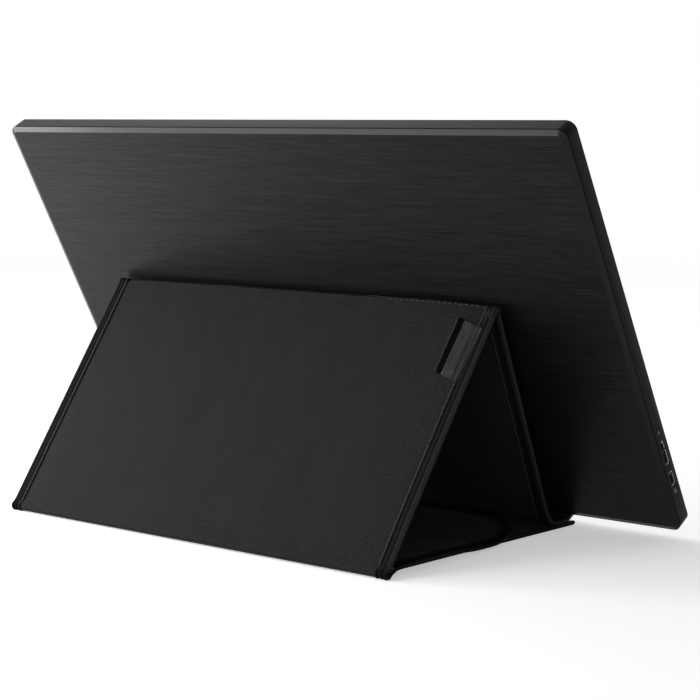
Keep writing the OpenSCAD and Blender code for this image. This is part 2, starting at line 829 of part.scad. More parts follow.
base_fabric();
base_board();
base_lining();
base_binding_left();
base_binding_right();
base_magnets();
tray_strip();
curl_fold();
front_panel_fabric();
front_panel_board();
front_panel_lining();
front_binding_left();
front_binding_right();
ridge_fold();
rear_panel_fabric();
rear_panel_board();
rear_panel_lining();
rear_binding_left();
rear_binding_right();
label_tab();
hem_fold();
flap_fabric();
flap_board();
flap_lining();
flap_binding();
flap_magnets();
ledge_strip();
ledge_lip();
front_bezel();
rear_cover();
lcd_cell();
screen_gasket();
optical_films();
light_guide();
reflector_sheet();
led_strip();
panel_frame();
panel_tray();
foam_pads();
driver_board();
main_board();
main_chips();
shield_can();
flat_cable();
data_port_shell();
data_port_tongue();
lock_slot_insert();
button_board();
tact_switches();
board_screws();
power_light_pipe();
power_button();
brightness_button();
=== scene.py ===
"""Looks of a portable monitor that stands on its folded fabric cover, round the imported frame.

Lengths are millimetres in the frame's own axes and become metres when a mesh is made. The cover
is one cloth: its middle line runs from the tray under the monitor, round the curl, up the front
panel, over the ridge, down the rear panel and round the hem into the flap.
"""
import json
from math import atan2, ceil, cos, exp, hypot, pi, radians, sin, sqrt, tan

import bmesh
import bpy
from mathutils import Matrix, Vector, noise


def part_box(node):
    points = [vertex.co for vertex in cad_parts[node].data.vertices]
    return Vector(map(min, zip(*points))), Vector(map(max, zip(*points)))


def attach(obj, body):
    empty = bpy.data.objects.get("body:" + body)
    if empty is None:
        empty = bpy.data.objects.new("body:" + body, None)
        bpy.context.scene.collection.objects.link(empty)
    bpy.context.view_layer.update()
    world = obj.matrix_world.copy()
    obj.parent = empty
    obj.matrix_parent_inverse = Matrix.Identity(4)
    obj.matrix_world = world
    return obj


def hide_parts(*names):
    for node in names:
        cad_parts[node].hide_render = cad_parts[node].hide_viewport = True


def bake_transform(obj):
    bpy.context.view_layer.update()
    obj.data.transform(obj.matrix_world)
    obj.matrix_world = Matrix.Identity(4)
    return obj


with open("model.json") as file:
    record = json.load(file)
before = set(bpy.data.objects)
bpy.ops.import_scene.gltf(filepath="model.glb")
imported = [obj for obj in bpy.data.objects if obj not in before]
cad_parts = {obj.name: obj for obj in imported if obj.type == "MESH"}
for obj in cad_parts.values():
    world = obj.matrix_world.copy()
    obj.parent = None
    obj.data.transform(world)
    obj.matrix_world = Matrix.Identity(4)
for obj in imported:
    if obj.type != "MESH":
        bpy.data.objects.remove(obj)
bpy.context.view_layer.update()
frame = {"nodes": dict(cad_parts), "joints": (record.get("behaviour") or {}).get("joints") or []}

MM = 0.001
scene = bpy.context.scene
joints = {joint["name"]: joint for joint in frame["joints"]}


def low(node):
    """Lowest corner of a CAD node."""
    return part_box(node)[0] / MM


def high(node):
    """Highest corner of a CAD node."""
    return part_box(node)[1] / MM


def pivot(joint):
    return Vector(joints[joint]["pos_m"]) / MM


# ---------- driving sizes, in millimetres ----------

# Monitor: x across, v up its back, w forward from the back plane
MONITOR_W, MONITOR_H, MONITOR_T = 382, 236, 10.5
CORNER = 5
SEAM_W = 1.45
SEAM_GAP = 0.45
BACK_SLOPE_W = 3
WINDOW = (-173.5, 173.5, 25, 221)
LIP_W0 = 9.4
WALL = 1.5
SOCKET_W = 5.5
BUTTON_UP = 11
LIGHT_X = 165
BUTTON_XS = {"power_button": 172, "brightness_button": 158}
KEY_HALF_W, KEY_HALF_V = 4, 1.5

# Cover
FRONT_SLOPE = radians(67.5)
REAR_SLOPE = radians(-53.9)
PANEL_HALF = 1.3
BOARD_HALF = 0.8
TAPE_HALF = 1.8
BASE_TAPE_LEG = 6.5
TAPE_LEG = 7.7
NOSE_IN = 1.5
DIP_IN = 2.9
VALLEY_IN = 5.4
STITCH_IN = 6.75
STITCH_PITCH = 3.2
STEP = STITCH_PITCH / 4
FOLD_R = 0.6

# Lengths of the middle line that stay soft: beside the ridge, above the hem, after the curl
FOLD_RUN, HEM_RUN, CURL_GAP = 5.5, 5, 0.9

# A skin's thickness and how far it lies inside the cover's edge, and the lowest point of any cloth
SKIN, SKIN_IN, LOWEST = 0.45, 1.2, 0.02

COVER_X0, COVER_X1 = low("tray_strip").x, high("tray_strip").x
COVER_MID = (COVER_X0 + COVER_X1) / 2
MONITOR_EDGE = pivot("ledge_tilt")
LEAN = atan2(joints["monitor_lift"]["axis"][1], joints["monitor_lift"]["axis"][2])
UP = Vector((0, sin(LEAN), cos(LEAN)))
FORWARD = Vector((0, -cos(LEAN), sin(LEAN)))
BACK_NORMAL = -FORWARD
RIDGE = pivot("ridge_hinge")
HEM = Vector((0, high("hem_fold").y - PANEL_HALF, low("hem_fold").z + PANEL_HALF))


def mix(a, b, t):
    return a + (b - a) * t


def smooth(a, b, value):
    """0 before a, 1 after b, and a smooth rise between them."""
    t = min(1, max(0, (value - a) / (b - a)))
    return t * t * (3 - 2 * t)


def bump(middle, width, value):
    return exp(-(((value - middle) / width) ** 2))


def ripple(x, run, size, seed):
    """Soft random waves between about -0.5 and 0.5."""
    return noise.noise(Vector((x / size, run / size, seed)))


def spread(a, b, step):
    """Even steps from a to b, both included."""
    count = max(1, ceil(abs(b - a) / step))
    return [mix(a, b, i / count) for i in range(count + 1)]


# ---------- node materials ----------


class Nodes:
    """Makes and links the nodes of one tree."""

    def __init__(self, tree):
        self.tree = tree

    def node(self, kind, settings=None, **inputs):
        made = self.tree.nodes.new("ShaderNode" + kind)
        for key, value in (settings or {}).items():
            setattr(made, key, value)
        for key, value in inputs.items():
            self.feed(made.inputs[key.replace("_", " ")], value)
        return made

    def feed(self, socket, value):
        if isinstance(value, bpy.types.NodeSocket):
            self.tree.links.new(value, socket)
        else:
            socket.default_value = value

    def ordered(self, kind, *values, **settings):
        """First output of a node that takes these values in the order of its inputs."""
        made = self.node(kind, settings)
        for socket, value in zip(made.inputs, values):
            self.feed(socket, value)
        return made.outputs[0]

    def math(self, operation, *values):
        return self.ordered("Math", *values, operation=operation)

    def coords(self, scale=(1, 1, 1), cloth=False):
        if cloth:
            source = self.node("Attribute", {"attribute_name": "cloth"}).outputs["Vector"]
        else:
            source = self.node("TexCoord").outputs["Object"]
        return self.node("Mapping", Vector=source, Scale=scale).outputs["Vector"]

    def noise(self, scale, detail=3, roughness=0.55, cloth=False):
        """Noise at this scale, which is one number or one for each axis."""
        each, whole = (scale, 1.0) if isinstance(scale, tuple) else ((1, 1, 1), scale)
        return self.node("TexNoise", Vector=self.coords(each, cloth), Scale=whole, Detail=detail,
                         Roughness=roughness).outputs["Fac"]

    def ramp(self, value, dark, light, start=0.3, end=0.7):
        made = self.node("ValToRGB", Fac=value)
        stops = made.color_ramp.elements
        stops[0].position, stops[0].color = start, (*dark, 1)
        stops[1].position, stops[1].color = end, (*light, 1)
        return made.outputs["Color"]

    def spread(self, value, lowest, highest, start=0.3, end=0.7):
        made = self.node("MapRange", Value=value)
        for key, number in (("From Min", start), ("From Max", end),
                            ("To Min", lowest), ("To Max", highest)):
            made.inputs[key].default_value = number
        return made.outputs["Result"]

    def blend(self, factor, first, second):
        made = self.node("Mix", {"data_type": "RGBA"})
        for i, value in ((0, factor), (6, first), (7, second)):
            self.feed(made.inputs[i], value)
        return made.outputs[2]

    def weighted(self, *pairs):
        """Sum of values, each times its weight."""
        total = None
        for value, weight in pairs:
            part = self.math("MULTIPLY", value, weight)
            total = part if total is None else self.math("ADD", total, part)
        return total

    def bump(self, height, distance, strength):
        made = self.node("Bump", Height=height, Distance=distance, Strength=strength)
        return made.outputs["Normal"]

    def plain_background(self, lit):
        """1 for the camera, in reflections and through glass, and the strength lit elsewhere."""
        path = self.node("LightPath").outputs
        seen = self.math("MAXIMUM", path["Is Camera Ray"], path["Is Glossy Ray"])
        seen = self.math("MAXIMUM", seen, path["Is Transmission Ray"])
        return self.spread(seen, lit, 1.0, 0.0, 1.0)


class Finish(Nodes):
    """A node material, built from the surface shader back."""

    def __init__(self, name):
        self.material = bpy.data.materials.new(name)
        self.material.use_nodes = True
        super().__init__(self.material.node_tree)
        self.shader = self.tree.nodes["Principled BSDF"]

    def surface(self, **inputs):
        for key, value in inputs.items():
            self.feed(self.shader.inputs[key.replace("_", " ")], value)
        return self.material


def grey(value, warmth=0.0):
    return (value * (1 + warmth), value, value * (1 - warmth))


def weave_height(f, vector):
    """Height of a plain weave whose threads lie one unit apart, between 0 and 1."""
    parts = f.node("SeparateXYZ", Vector=vector)
    x, y = parts.outputs["X"], parts.outputs["Y"]

    def thread(across, along, phase):
        round_top = f.math("SINE", f.math("MULTIPLY", f.math("FRACT", across), pi))
        turned = f.math("ADD", f.math("SUBTRACT", along, 0.5), f.math("FLOOR", across))
        wave = f.math("COSINE", f.math("MULTIPLY", turned, pi))
        over = f.math("MULTIPLY_ADD", wave, phase, 0.5)
        return f.math("MULTIPLY", round_top, f.math("ADD", over, 0.15))

    return f.math("MAXIMUM", thread(x, y, 0.5), thread(y, x, -0.5))


def woven_cloth(name, tone, warmth, threads_per_m, depth, roughness, wave):
    """Woven cloth: threads in relief, uneven dye, painted shade between the threads and the slight
    shine of nylon.
    """
    f = Finish(name)
    cloth = f.coords(cloth=True)
    drift = f.node("TexNoise", Vector=cloth, Scale=35.0, Detail=2.0)
    wander = f.node("VectorMath", {"operation": "SCALE"}, Vector=drift.outputs["Color"],
                    Scale=wave)
    moved = f.ordered("VectorMath", cloth, wander.outputs[0], operation="ADD")
    threads = f.node("Mapping", Vector=moved, Scale=(threads_per_m,) * 3)
    height = weave_height(f, threads.outputs["Vector"])
    patches = f.noise((60, 14, 1), 4, cloth=True)
    fibres = f.noise(threads_per_m * 0.8, 2, cloth=True)
    # Dye patches and fibres are the cloth's own tone; the weave height darkens the gaps between
    # threads as painted shade.
    shade = f.weighted((patches, 0.15), (fibres, 0.45), (height, 0.4))
    colour = f.ramp(shade, grey(tone * 0.02, warmth), grey(tone * 2.4, warmth), 0.38, 0.72)
    return f.surface(Base_Color=colour, Normal=f.bump(height, depth, 0.9),
                     Roughness=f.spread(fibres, roughness - 0.08, roughness + 0.08),
                     Specular_IOR_Level=0.08, Sheen_Weight=0.02, Sheen_Roughness=0.4)


def leather_tape(name, tone, rubbed_and_lit_tone, roughness, specular, crumple):
    """Coated cloth with fine leather grain, lighter along lines of rubbing and painted highlight.
    """
    f = Finish(name)
    grain = f.node("TexVoronoi", {"feature": "DISTANCE_TO_EDGE"}, Vector=f.coords(), Scale=1500.0)
    fine = f.noise(900.0, 4)
    lightening = f.noise(45.0)
    soft = f.noise(260.0, 2)
    height = f.weighted((grain.outputs["Distance"], 1.2), (fine, 0.5), (soft, crumple))
    plain = f.ramp(lightening, grey(tone * 0.75), grey(tone * 1.3), 0.25, 0.75)
    # The cloth attribute's z blends the tape towards the lighter tone: rubbing and painted
    # highlight.
    edge = f.node("SeparateXYZ", Vector=f.coords(cloth=True)).outputs["Z"]
    edge = f.math("MULTIPLY", edge, f.spread(fine, 700.0, 1200.0))
    return f.surface(Base_Color=f.blend(edge, plain, (*grey(rubbed_and_lit_tone), 1)),
                     Roughness=f.spread(lightening, roughness + 0.06, roughness - 0.06),
                     Specular_IOR_Level=specular, Normal=f.bump(height, 0.00012, 0.55))


def moulded_plastic(name, tone, roughness):
    """Moulded plastic with a fine spark-eroded skin."""
    f = Finish(name)
    skin = f.noise(1800.0)
    return f.surface(Base_Color=f.ramp(f.noise(12.0), grey(tone * 0.9), grey(tone * 1.1)),
                     Roughness=f.spread(skin, roughness - 0.05, roughness + 0.05),
                     Specular_IOR_Level=0.04, Normal=f.bump(skin, 0.00004, 0.5))


def brushed_shell(name):
    """Dark metallic lacquer with hairlines across the back and a smooth polished slope."""
    f = Finish(name)
    hair = f.noise((26, 1700, 1700), 3, 0.7)
    strand = f.noise((70, 3600, 3600), 2, 0.6)
    band = f.noise((9, 330, 330), 3, 0.6)
    lines = f.weighted((hair, 0.55), (strand, 0.35), (band, 0.1))
    facing = f.node("VectorMath", {"operation": "DOT_PRODUCT"})
    for i, way in enumerate((f.node("NewGeometry").outputs["True Normal"], BACK_NORMAL)):
        f.feed(facing.inputs[i], way)
    flat = f.spread(facing.outputs["Value"], 0.0, 1.0, 0.93, 0.985)
    brushed = f.ramp(lines, grey(0.0025), grey(0.0195), 0.37, 0.63)
    rough = f.spread(lines, 0.42, 0.3, 0.35, 0.65)
    rough = f.weighted((rough, flat), (f.math("SUBTRACT", 1.0, flat), 0.2))
    return f.surface(Base_Color=f.blend(flat, (*grey(0.016), 1), brushed),
                     Roughness=rough, Specular_IOR_Level=0.12, Metallic=0.3,
                     Normal=f.bump(f.math("MULTIPLY", lines, flat), 0.00004, 0.4))


def screen_glass(name):
    """Matt black panel with the faintest uneven haze."""
    f = Finish(name)
    haze = f.noise(30.0)
    return f.surface(Base_Color=f.ramp(haze, grey(0.004), grey(0.007)),
                     Roughness=f.spread(haze, 0.16, 0.22), Specular_IOR_Level=0.5,
                     Normal=f.bump(f.noise(4000.0, 1), 0.00001, 0.3))


def bare_metal(name, tone, roughness):
    """Plain metal with drawing lines and light staining."""
    f = Finish(name)
    lines = f.noise((40, 1500, 1500))
    return f.surface(Base_Color=f.ramp(f.noise(80.0), grey(tone * 0.85, 0.02), grey(tone, 0.01)),
                     Roughness=f.spread(lines, roughness, roughness + 0.15), Metallic=1.0,
                     Normal=f.bump(lines, 0.00002, 0.4))


def mottled(name, dark, light, scale, roughness, depth=0.00005):
    """Matt stuff with a speckled face, such as board, foam or film."""
    f = Finish(name)
    speck = f.noise(scale, 5, 0.65)
    return f.surface(Base_Color=f.ramp(speck, dark, light), Roughness=roughness,
                     Specular_IOR_Level=0.3, Normal=f.bump(speck, depth, 0.6))


def circuit_board(name):
    """Green board with fine copper runs under the lacquer."""
    f = Finish(name)
    runs = f.node("TexBrick", Vector=f.coords((1, 1.15, 1.15)), Scale=260.0, Mortar_Size=0.04,
                  Color1=(0.01, 0.07, 0.03, 1), Color2=(0.012, 0.09, 0.04, 1),
                  Mortar=(0.04, 0.16, 0.07, 1))
    return f.surface(Base_Color=runs.outputs["Color"], Roughness=0.35, Specular_IOR_Level=0.5,
                     Normal=f.bump(runs.outputs["Fac"], 0.00003, 0.5))


FINISHES = {name: make(name, *about) for name, make, *about in (
    ("woven_fabric", woven_cloth, 0.0100, 0.03, 900, 0.0005, 0.6, 0.0009),
    ("lining_cloth", woven_cloth, 0.012, 0.0, 2000, 0.00008, 0.72, 0.0004),
    # For binding_tape and label_leather the second number is the lighter tone of rubbing and
    # painted highlight.
    ("binding_tape", leather_tape, 0.002, 0.05, 0.58, 0.01, 0.0),
    ("thread", mottled, grey(0.03), grey(0.06), 3000.0, 0.6),
    ("label_leather", leather_tape, 0.007, 0.03, 0.33, 0.16, 9.0),
    ("panel_stiffener", mottled, (0.10, 0.09, 0.07), (0.16, 0.14, 0.11), 400.0, 0.85),
    ("magnet_steel", bare_metal, 0.6, 0.25),
    ("bezel_plastic", moulded_plastic, 0.003, 0.40),
    ("brushed_shell", brushed_shell),
    ("screen_glass", screen_glass),
    ("foam_rubber", mottled, grey(0.015), grey(0.035), 1400.0, 0.9, 0.0002),
    ("optical_plastic", mottled, grey(0.75), grey(0.82), 60.0, 0.3),
    ("led_board", mottled, (0.75, 0.72, 0.5), (0.85, 0.82, 0.6), 500.0, 0.4),
    ("panel_metal", bare_metal, 0.62, 0.35),
    ("circuit_board", circuit_board),
    ("chip_plastic", moulded_plastic, 0.012, 0.55),
    ("bright_metal", bare_metal, 0.55, 0.25),
    ("ribbon_film", mottled, (0.55, 0.5, 0.4), (0.68, 0.62, 0.5), 200.0, 0.45),
    ("mark_paint", mottled, grey(0.10), grey(0.16), 900.0, 0.5),
    ("button_plastic", moulded_plastic, 0.012, 0.36))}

for node in frame["nodes"].values():
    for place in node.material_slots:
        place.material = FINISHES[place.material.name.split(".")[0]]


# ---------- mesh making ----------


def placed(name, data):
    """A new object in the scene."""
    thing = bpy.data.objects.new(name, data)
    scene.collection.objects.link(thing)
    return thing


def solid(name, points, faces, finish, body=None, replaces=(), cloth=None, crease=40):
    """A closed mesh of points in millimetres. It rides on a body, if one is given."""
    mesh = bpy.data.meshes.new(name)
    mesh.from_pydata([Vector(p) * MM for p in points], [], faces)
    if cloth:
        place = mesh.attributes.new("cloth", "FLOAT_VECTOR", "POINT")
        place.data.foreach_set("vector", [c * MM for spot in cloth for c in (*spot, 0)[:3]])
    work = bmesh.new()
    work.from_mesh(mesh)
    bmesh.ops.recalc_face_normals(work, faces=work.faces)
    work.to_mesh(mesh)
    work.free()
    finish_mesh(mesh, finish, crease)
    piece = placed(name, mesh)
    if replaces:
        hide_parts(*replaces)
    if body:
        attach(piece, body)
    return piece


def finish_mesh(mesh, finish, crease):
    mesh.materials.clear()
    mesh.materials.append(FINISHES[finish])
    mesh.polygons.foreach_set("use_smooth", [True] * len(mesh.polygons))
    mesh.set_sharp_from_angle(angle=radians(crease))


def bridge(first, second, count):
    """Faces between two rings of points that start at these numbers."""
    return [(first + i, first + (i + 1) % count, second + (i + 1) % count, second + i)
            for i in range(count)]


def above_floor(points):
    return [Vector((p.x, p.y, max(p.z, LOWEST))) for p in points]


def sweep(name, rings, finish, cloth=None, looped=False, **about):
    """A solid through rings of points, with flat ends unless the rings close on themselves."""
    count = len(rings[0])
    faces = []
    for i in range(len(rings) - (0 if looped else 1)):
        faces += bridge(i * count, (i + 1) % len(rings) * count, count)
    if not looped:
        faces += [tuple(range(count)), tuple(range((len(rings) - 1) * count, len(rings) * count))]
    return solid(name, [p for ring in rings for p in ring], faces, finish, cloth=cloth, **about)


def sheet_faces(rows, columns):
    """Faces of a thin closed sheet whose two sides are grids."""
    size = rows * columns
    faces = []
    for i in range(rows - 1):
        for j in range(columns - 1):
            a = i * columns + j
            quad = (a, a + 1, a + columns + 1, a + columns)
            faces += [quad, tuple(n + size for n in reversed(quad))]
    rim = list(range(columns))
    rim += [i * columns + columns - 1 for i in range(1, rows)]
    rim += [(rows - 1) * columns + j for j in range(columns - 2, -1, -1)]
    rim += [i * columns for i in range(rows - 2, 0, -1)]
    for a, b in zip(rim, rim[1:] + rim[:1]):
        faces.append((a, b, b + size, a + size))
    return faces


# ---------- the cloth's middle line ----------


def drawn_in(x, pull):
    """Moves the right-hand edge in by the pull, and the left-hand edge not at all."""
    return x + pull * (COVER_X1 - x) / (COVER_X1 - COVER_X0)


class Station:
    """A place on the middle line, with its slope, its run, the room inside a fold and its pull."""

    def __init__(self, y, z, slope, run, room=9.0, pull=0.0):
        self.y, self.z, self.slope, self.run, self.room, self.pull = y, z, slope, run, room, pull

    def point(self, x, out):
        return Vector((drawn_in(x, self.pull), self.y - out * sin(self.slope),
                       self.z + out * cos(self.slope)))

    def outward(self):
        return Vector((0, -sin(self.slope), cos(self.slope)))

    def away(self, fold):
        return hypot(self.y - fold.y, self.z - fold.z)


class Walk:
    """Draws the middle line as straight runs and arcs."""

    def __init__(self, y, z, slope):
        self.y, self.z, self.slope, self.run = y, z, slope, 0.0

    def here(self):
        return Station(self.y, self.z, self.slope, self.run)

    def go(self, length, turn=0.0, step=STEP, least=1):
        """A straight run, or an arc that turns left by a positive angle and right by a negative."""
        stations = [self.here()]
        count = max(least, round(length / step))
        part = turn / count
        chord = 2 * length / turn * sin(part / 2) if turn else length / count
        for _ in range(count):
            self.slope += part / 2
            self.y += cos(self.slope) * chord
            self.z += sin(self.slope) * chord
            self.slope += part / 2
            self.run += length / count + PANEL_HALF * abs(part) * (turn < 0)
            stations.append(self.here())
        return stations


# The tray and the curl
tray_mid = (low("tray_strip").z + high("tray_strip").z) / 2
foot_y = RIDGE.y - (RIDGE.z - tray_mid) / tan(FRONT_SLOPE)
curl_y0 = high("tray_strip").y
CURL_R = (foot_y - curl_y0) / tan(FRONT_SLOPE / 2)
FRONT_LEN = (RIDGE.z - tray_mid) / sin(FRONT_SLOPE)
REAR_LEN = (RIDGE.z - HEM.z) / sin(-REAR_SLOPE)

# The flap rises from the hem and then lies on the base
FLAP_MID = (low("flap_fabric").z + high("flap_lining").z) / 2
FLAP_HALF = 1.0
flap_y1 = high("flap_binding").y
flap_rise = Vector((flap_y1 + 0.6 - HEM.y, FLAP_MID - HEM.z))
FLAP_SLOPE = atan2(flap_rise.y, flap_rise.x) - 2 * pi

ridge_half = (pi - (FRONT_SLOPE - REAR_SLOPE)) / 2
hem_half = (pi - (REAR_SLOPE - FLAP_SLOPE)) / 2
ridge_tangent = FOLD_R / tan(ridge_half)
hem_tangent = FOLD_R / tan(hem_half)

walk = Walk(low("tray_strip").y + PANEL_HALF, tray_mid, 0.0)
tray = walk.go(curl_y0 - low("tray_strip").y - PANEL_HALF)
curl = walk.go(CURL_R * FRONT_SLOPE, FRONT_SLOPE)
front_soft = walk.go(CURL_GAP)
front = walk.go(FRONT_LEN - (foot_y - curl_y0) - CURL_GAP - FOLD_RUN)
ridge_turn, hem_turn = REAR_SLOPE - FRONT_SLOPE, FLAP_SLOPE - REAR_SLOPE
ridge_up = walk.go(FOLD_RUN - ridge_tangent)
ridge_over = walk.go(-FOLD_R * ridge_turn, ridge_turn, least=14)
ridge_down = walk.go(FOLD_RUN - ridge_tangent)
rear = walk.go(REAR_LEN - FOLD_RUN - HEM_RUN)
hem_down = walk.go(HEM_RUN - hem_tangent)
hem_round = walk.go(-FOLD_R * hem_turn, hem_turn, least=16)
hem_rise = walk.go(flap_rise.length - hem_tangent)


def give_room(stations, fold, half_angle):
    """The inner side of the cloth ends at the line that halves a fold."""
    for station in stations:
        station.room = max(FOLD_R, station.away(fold) * tan(half_angle)) - 0.05


def joined(*parts):
    """Runs of stations, one after another, without their doubled ends."""
    line = list(parts[0])
    for part in parts[1:]:
        line += part[1:]
    return line


ridge_line = joined(ridge_up, ridge_over, ridge_down)
hem_line = joined(hem_down, hem_round, hem_rise)
curl_line = joined(curl, front_soft)
give_room(ridge_line, RIDGE, ridge_half)
give_room(hem_line, HEM, hem_half)

RIDGE_PULL, HEM_PULL = -0.6, 2.3


def rear_pull(down):
    """Pull of the rear panel's right-hand edge, this far down from the ridge."""
    t = min(1, max(0, down / REAR_LEN))
    return mix(RIDGE_PULL, HEM_PULL, 1 - (1 - t) ** 1.6)


for station in joined(ridge_line, rear, hem_line):
    started = smooth(ridge_line[0].run, ridge_down[0].run, station.run)
    station.pull = started * rear_pull(station.run - ridge_down[0].run)


# ---------- cloth ----------


def ribbon(name, stations, across, face, thickness, side, finish, **about):
    """Cloth along the middle line. Its face stands out on the side given, by face(x, station)
    or by one number.
    """
    points, cloth = [], []
    for layer in (0, thickness):
        for station in stations:
            for x in across(station):
                out = face(x, station) if callable(face) else face
                points.append(station.point(x, side * (out - layer)))
                cloth.append((x, station.run))
    columns = len(across(stations[0]))
    return solid(name, points, sheet_faces(len(stations), columns), finish, cloth=cloth, **about)


def skin(name, stations, across, face, thickness, side, nodes, held, *rests_on, bend=None,
         **about):
    """Outer or inner cloth of the cover."""
    finish = "lining_cloth" if "inner" in name else "woven_fabric"
    piece = ribbon(name, stations, across, face, thickness, side, finish, replaces=nodes, **about)
    if bend:
        blended(piece, *bend)
    widths = [across(station)[-1] - across(station)[0] for station in stations]
    runs = [abs(station.run - stations[0].run) for station in stations]


def panel_columns(inset=SKIN_IN, step=3.4):
    """Places across the panel, closer together beside the tapes."""
    margin, middle = [inset, 5.5, 7, 7.6, 8.1, 8.7, 9.6, 11.2], 13
    columns = ([COVER_X0 + m for m in margin] + spread(COVER_X0 + middle, COVER_X1 - middle, step)
               + [COVER_X1 - m for m in reversed(margin)])
    return lambda station: columns


def from_side(x):
    return min(x - COVER_X0, COVER_X1 - x)


def stretched(x, run0, run1, run, half, fullness, seed, waves=0.35):
    """A stretched skin: flat under the tape, then slightly full and never quite even."""
    inner = smooth(TAPE_LEG - 0.5, TAPE_LEG + 12, from_side(x))
    ends = smooth(0, 10, run - run0) * smooth(0, 10, run1 - run)
    uneven = waves * (ripple(x, run, 38, seed) + 0.5 * ripple(x, run, 15, seed + 5))
    pinched = 0.14 * (1 - inner) + 0.2 * bump(TAPE_LEG + 0.4, 0.9, from_side(x))
    return half - pinched + inner * (fullness * ends + uneven * mix(0.3, 1, ends))


def ridge_crown(x):
    """Height of the cloth above a straight ridge, fullest towards the left end."""
    t = (x - COVER_X0) / (COVER_X1 - COVER_X0)
    full = 1.25 * sin(pi * t ** 1.25) ** 0.8 + bump(0.16, 0.16, t)
    return full + 0.15 * ripple(x, 0, 30, 3)


def panel_face(x, station, panel, fullness, seed, waves=0.35):
    """A skin over the front or rear panel. It doesn't flatten towards the ridge."""
    start, end = panel[0].run - 9 * (panel is rear), panel[-1].run + 9 * (panel is front)
    return stretched(x, start, end, station.run, PANEL_HALF, fullness, seed, waves)


def rear_face(x, station):
    crown = ridge_crown(x) * (1 - smooth(0, 16, station.run - rear[0].run + FOLD_RUN))
    return panel_face(x, station, rear, 0.45, 1) + crown


def front_face(x, station):
    crown = ridge_crown(x) * (1 - smooth(0, 16, front[-1].run - station.run + FOLD_RUN))
    return panel_face(x, station, front, 0.3, 11) + crown


def front_lining_face(x, station):
    """The lining has a crease where the stiff board ends, and a few soft folds above it."""
    s = station.run - front[0].run
    crease = 0.36 * bump(3, 1.6, s) + 0.3 * bump(11 + 3 * ripple(x, 0, 60, 9), 3.5, s)
    return max(panel_face(x, station, front, 0.3, 21, 0.5) - crease, BOARD_HALF + 0.08)


# Name, panel, one station kept in so many, column width, face, side, node stood for
SKINS = (("rear_panel_cloth", rear, 3, 3.4, rear_face, 1, "rear_panel_fabric"),
         ("rear_panel_inner_cloth", rear, 4, 5, lambda x, s: panel_face(x, s, rear, 0.2, 31, 0.5),
          -1, "rear_panel_lining"),
         ("front_panel_cloth", front, 4, 3.4, front_face, 1, "front_panel_fabric"),
         ("front_panel_inner_cloth", front, 3, 3.4, front_lining_face, -1, "front_panel_lining"))
for name, run, keep, step, face, side, node in SKINS:
    panel = "rear_panel" if run is rear else "front_panel"
    skin(name, run[:-1:keep] + run[-1:], panel_columns(step=step), face, SKIN, side, [node],
         "stretched", panel + "_board", body=panel)


def fold_cloth(name, stations, half, lift, **about):
    """Soft cloth through a fold: a round outside, and an inside that ends in a sharp notch."""
    rings, cloth = [], []
    for x in panel_columns()(None):
        ring = [station.point(x, half(x, station) + lift(x, station)) for station in stations]
        runs = [station.run for station in stations]
        for station in reversed(stations):
            ring.append(station.point(x, -min(half(x, station), station.room)))
            runs.append(station.run)
        rings.append(above_floor(ring))
        cloth += [(x, run) for run in runs]
    return sweep(name, rings, "woven_fabric", cloth=cloth, **about)


def blended(piece, a, b, start, end):
    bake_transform(piece)
    return piece


def ridge_half_at(x, station):
    return stretched(x, 0, 1e6, station.run, PANEL_HALF, 0.0, 1, 0.1)


ridge_bend = ("front_panel", "rear_panel", (0, RIDGE.y - 1.2, RIDGE.z),
              (0, RIDGE.y + 1.8, RIDGE.z))
blended(fold_cloth("ridge_cloth", ridge_line, ridge_half_at, lambda x, s: ridge_crown(x),
                   replaces=["ridge_fold"]), *ridge_bend)


CREASE_RUN, CREASE_W = 8.4, 2.1
CREASE_IN, TAPE_CREASE_IN = 0.75, 1.15
CURL_SKIN = 0.72


def curl_pressed(station):
    """How far the curl is pressed in where it folds, beside the axis of the stand's joint."""
    return bump(curl_line[0].run + CREASE_RUN, CREASE_W, station.run)


def curl_face(x, station):
    face = stretched(x, curl_line[0].run, curl_line[-1].run, station.run, PANEL_HALF, 0.0, 41, 0.3)
    return face - CREASE_IN * curl_pressed(station)


bend_start, bend_end = curl_line[7], curl_line[14]
curl_bend = ("base", "front_panel", (0, bend_start.y, bend_start.z), (0, bend_end.y, bend_end.z))
for name, side in (("curl_cloth", 1), ("curl_inner_cloth", -1)):
    skin(name, curl_line, panel_columns(), curl_face, CURL_SKIN, side, ["curl_fold"], "folded",
         "base_cloth", bend=curl_bend)


# ---------- edge tape and its stitches ----------


class Edge:
    """A place on a cloth's edge: the nose of its tape, the way inward, and the way out.

    A line of rubbing and painted highlight lies on the nose at shine, from -1 inside to 1 outside;
    the last argument sets how strong the tape's lighter lines are.
    """

    def __init__(self, point, inward, outward, run, room=9.0, bulge=0.0, shine=0.0, wear_and_highlight=1.0):
        self.point, self.inward, self.outward = Vector(point), Vector(inward), Vector(outward)
        self.run, self.room, self.bulge, self.shine, self.wear_and_highlight = run, room, bulge, shine, wear_and_highlight

    def at(self, a, height):
        return self.point + self.inward * a + self.outward * height


def cloth_edges(stations, side, bulge=lambda station: 0.0):
    x = COVER_X0 if side < 0 else COVER_X1
    return [Edge(station.point(x, 0), (-side, 0, 0), station.outward(), station.run, station.room,
                 bulge(station)) for station in stations]


def tape_height(a, half):
    """Height of the tape's face: a bead, a dip, a flat band, a valley and a turned, sewn edge."""
    return (half * 0.87 + 0.2 * bump(NOSE_IN, 0.7, a) - 0.16 * bump(DIP_IN, 0.4, a)
            - 0.5 * bump(VALLEY_IN, 0.55, a) + 0.12 * bump(STITCH_IN, 0.5, a)
            - 0.9 * smooth(TAPE_LEG - 0.35, TAPE_LEG, a))


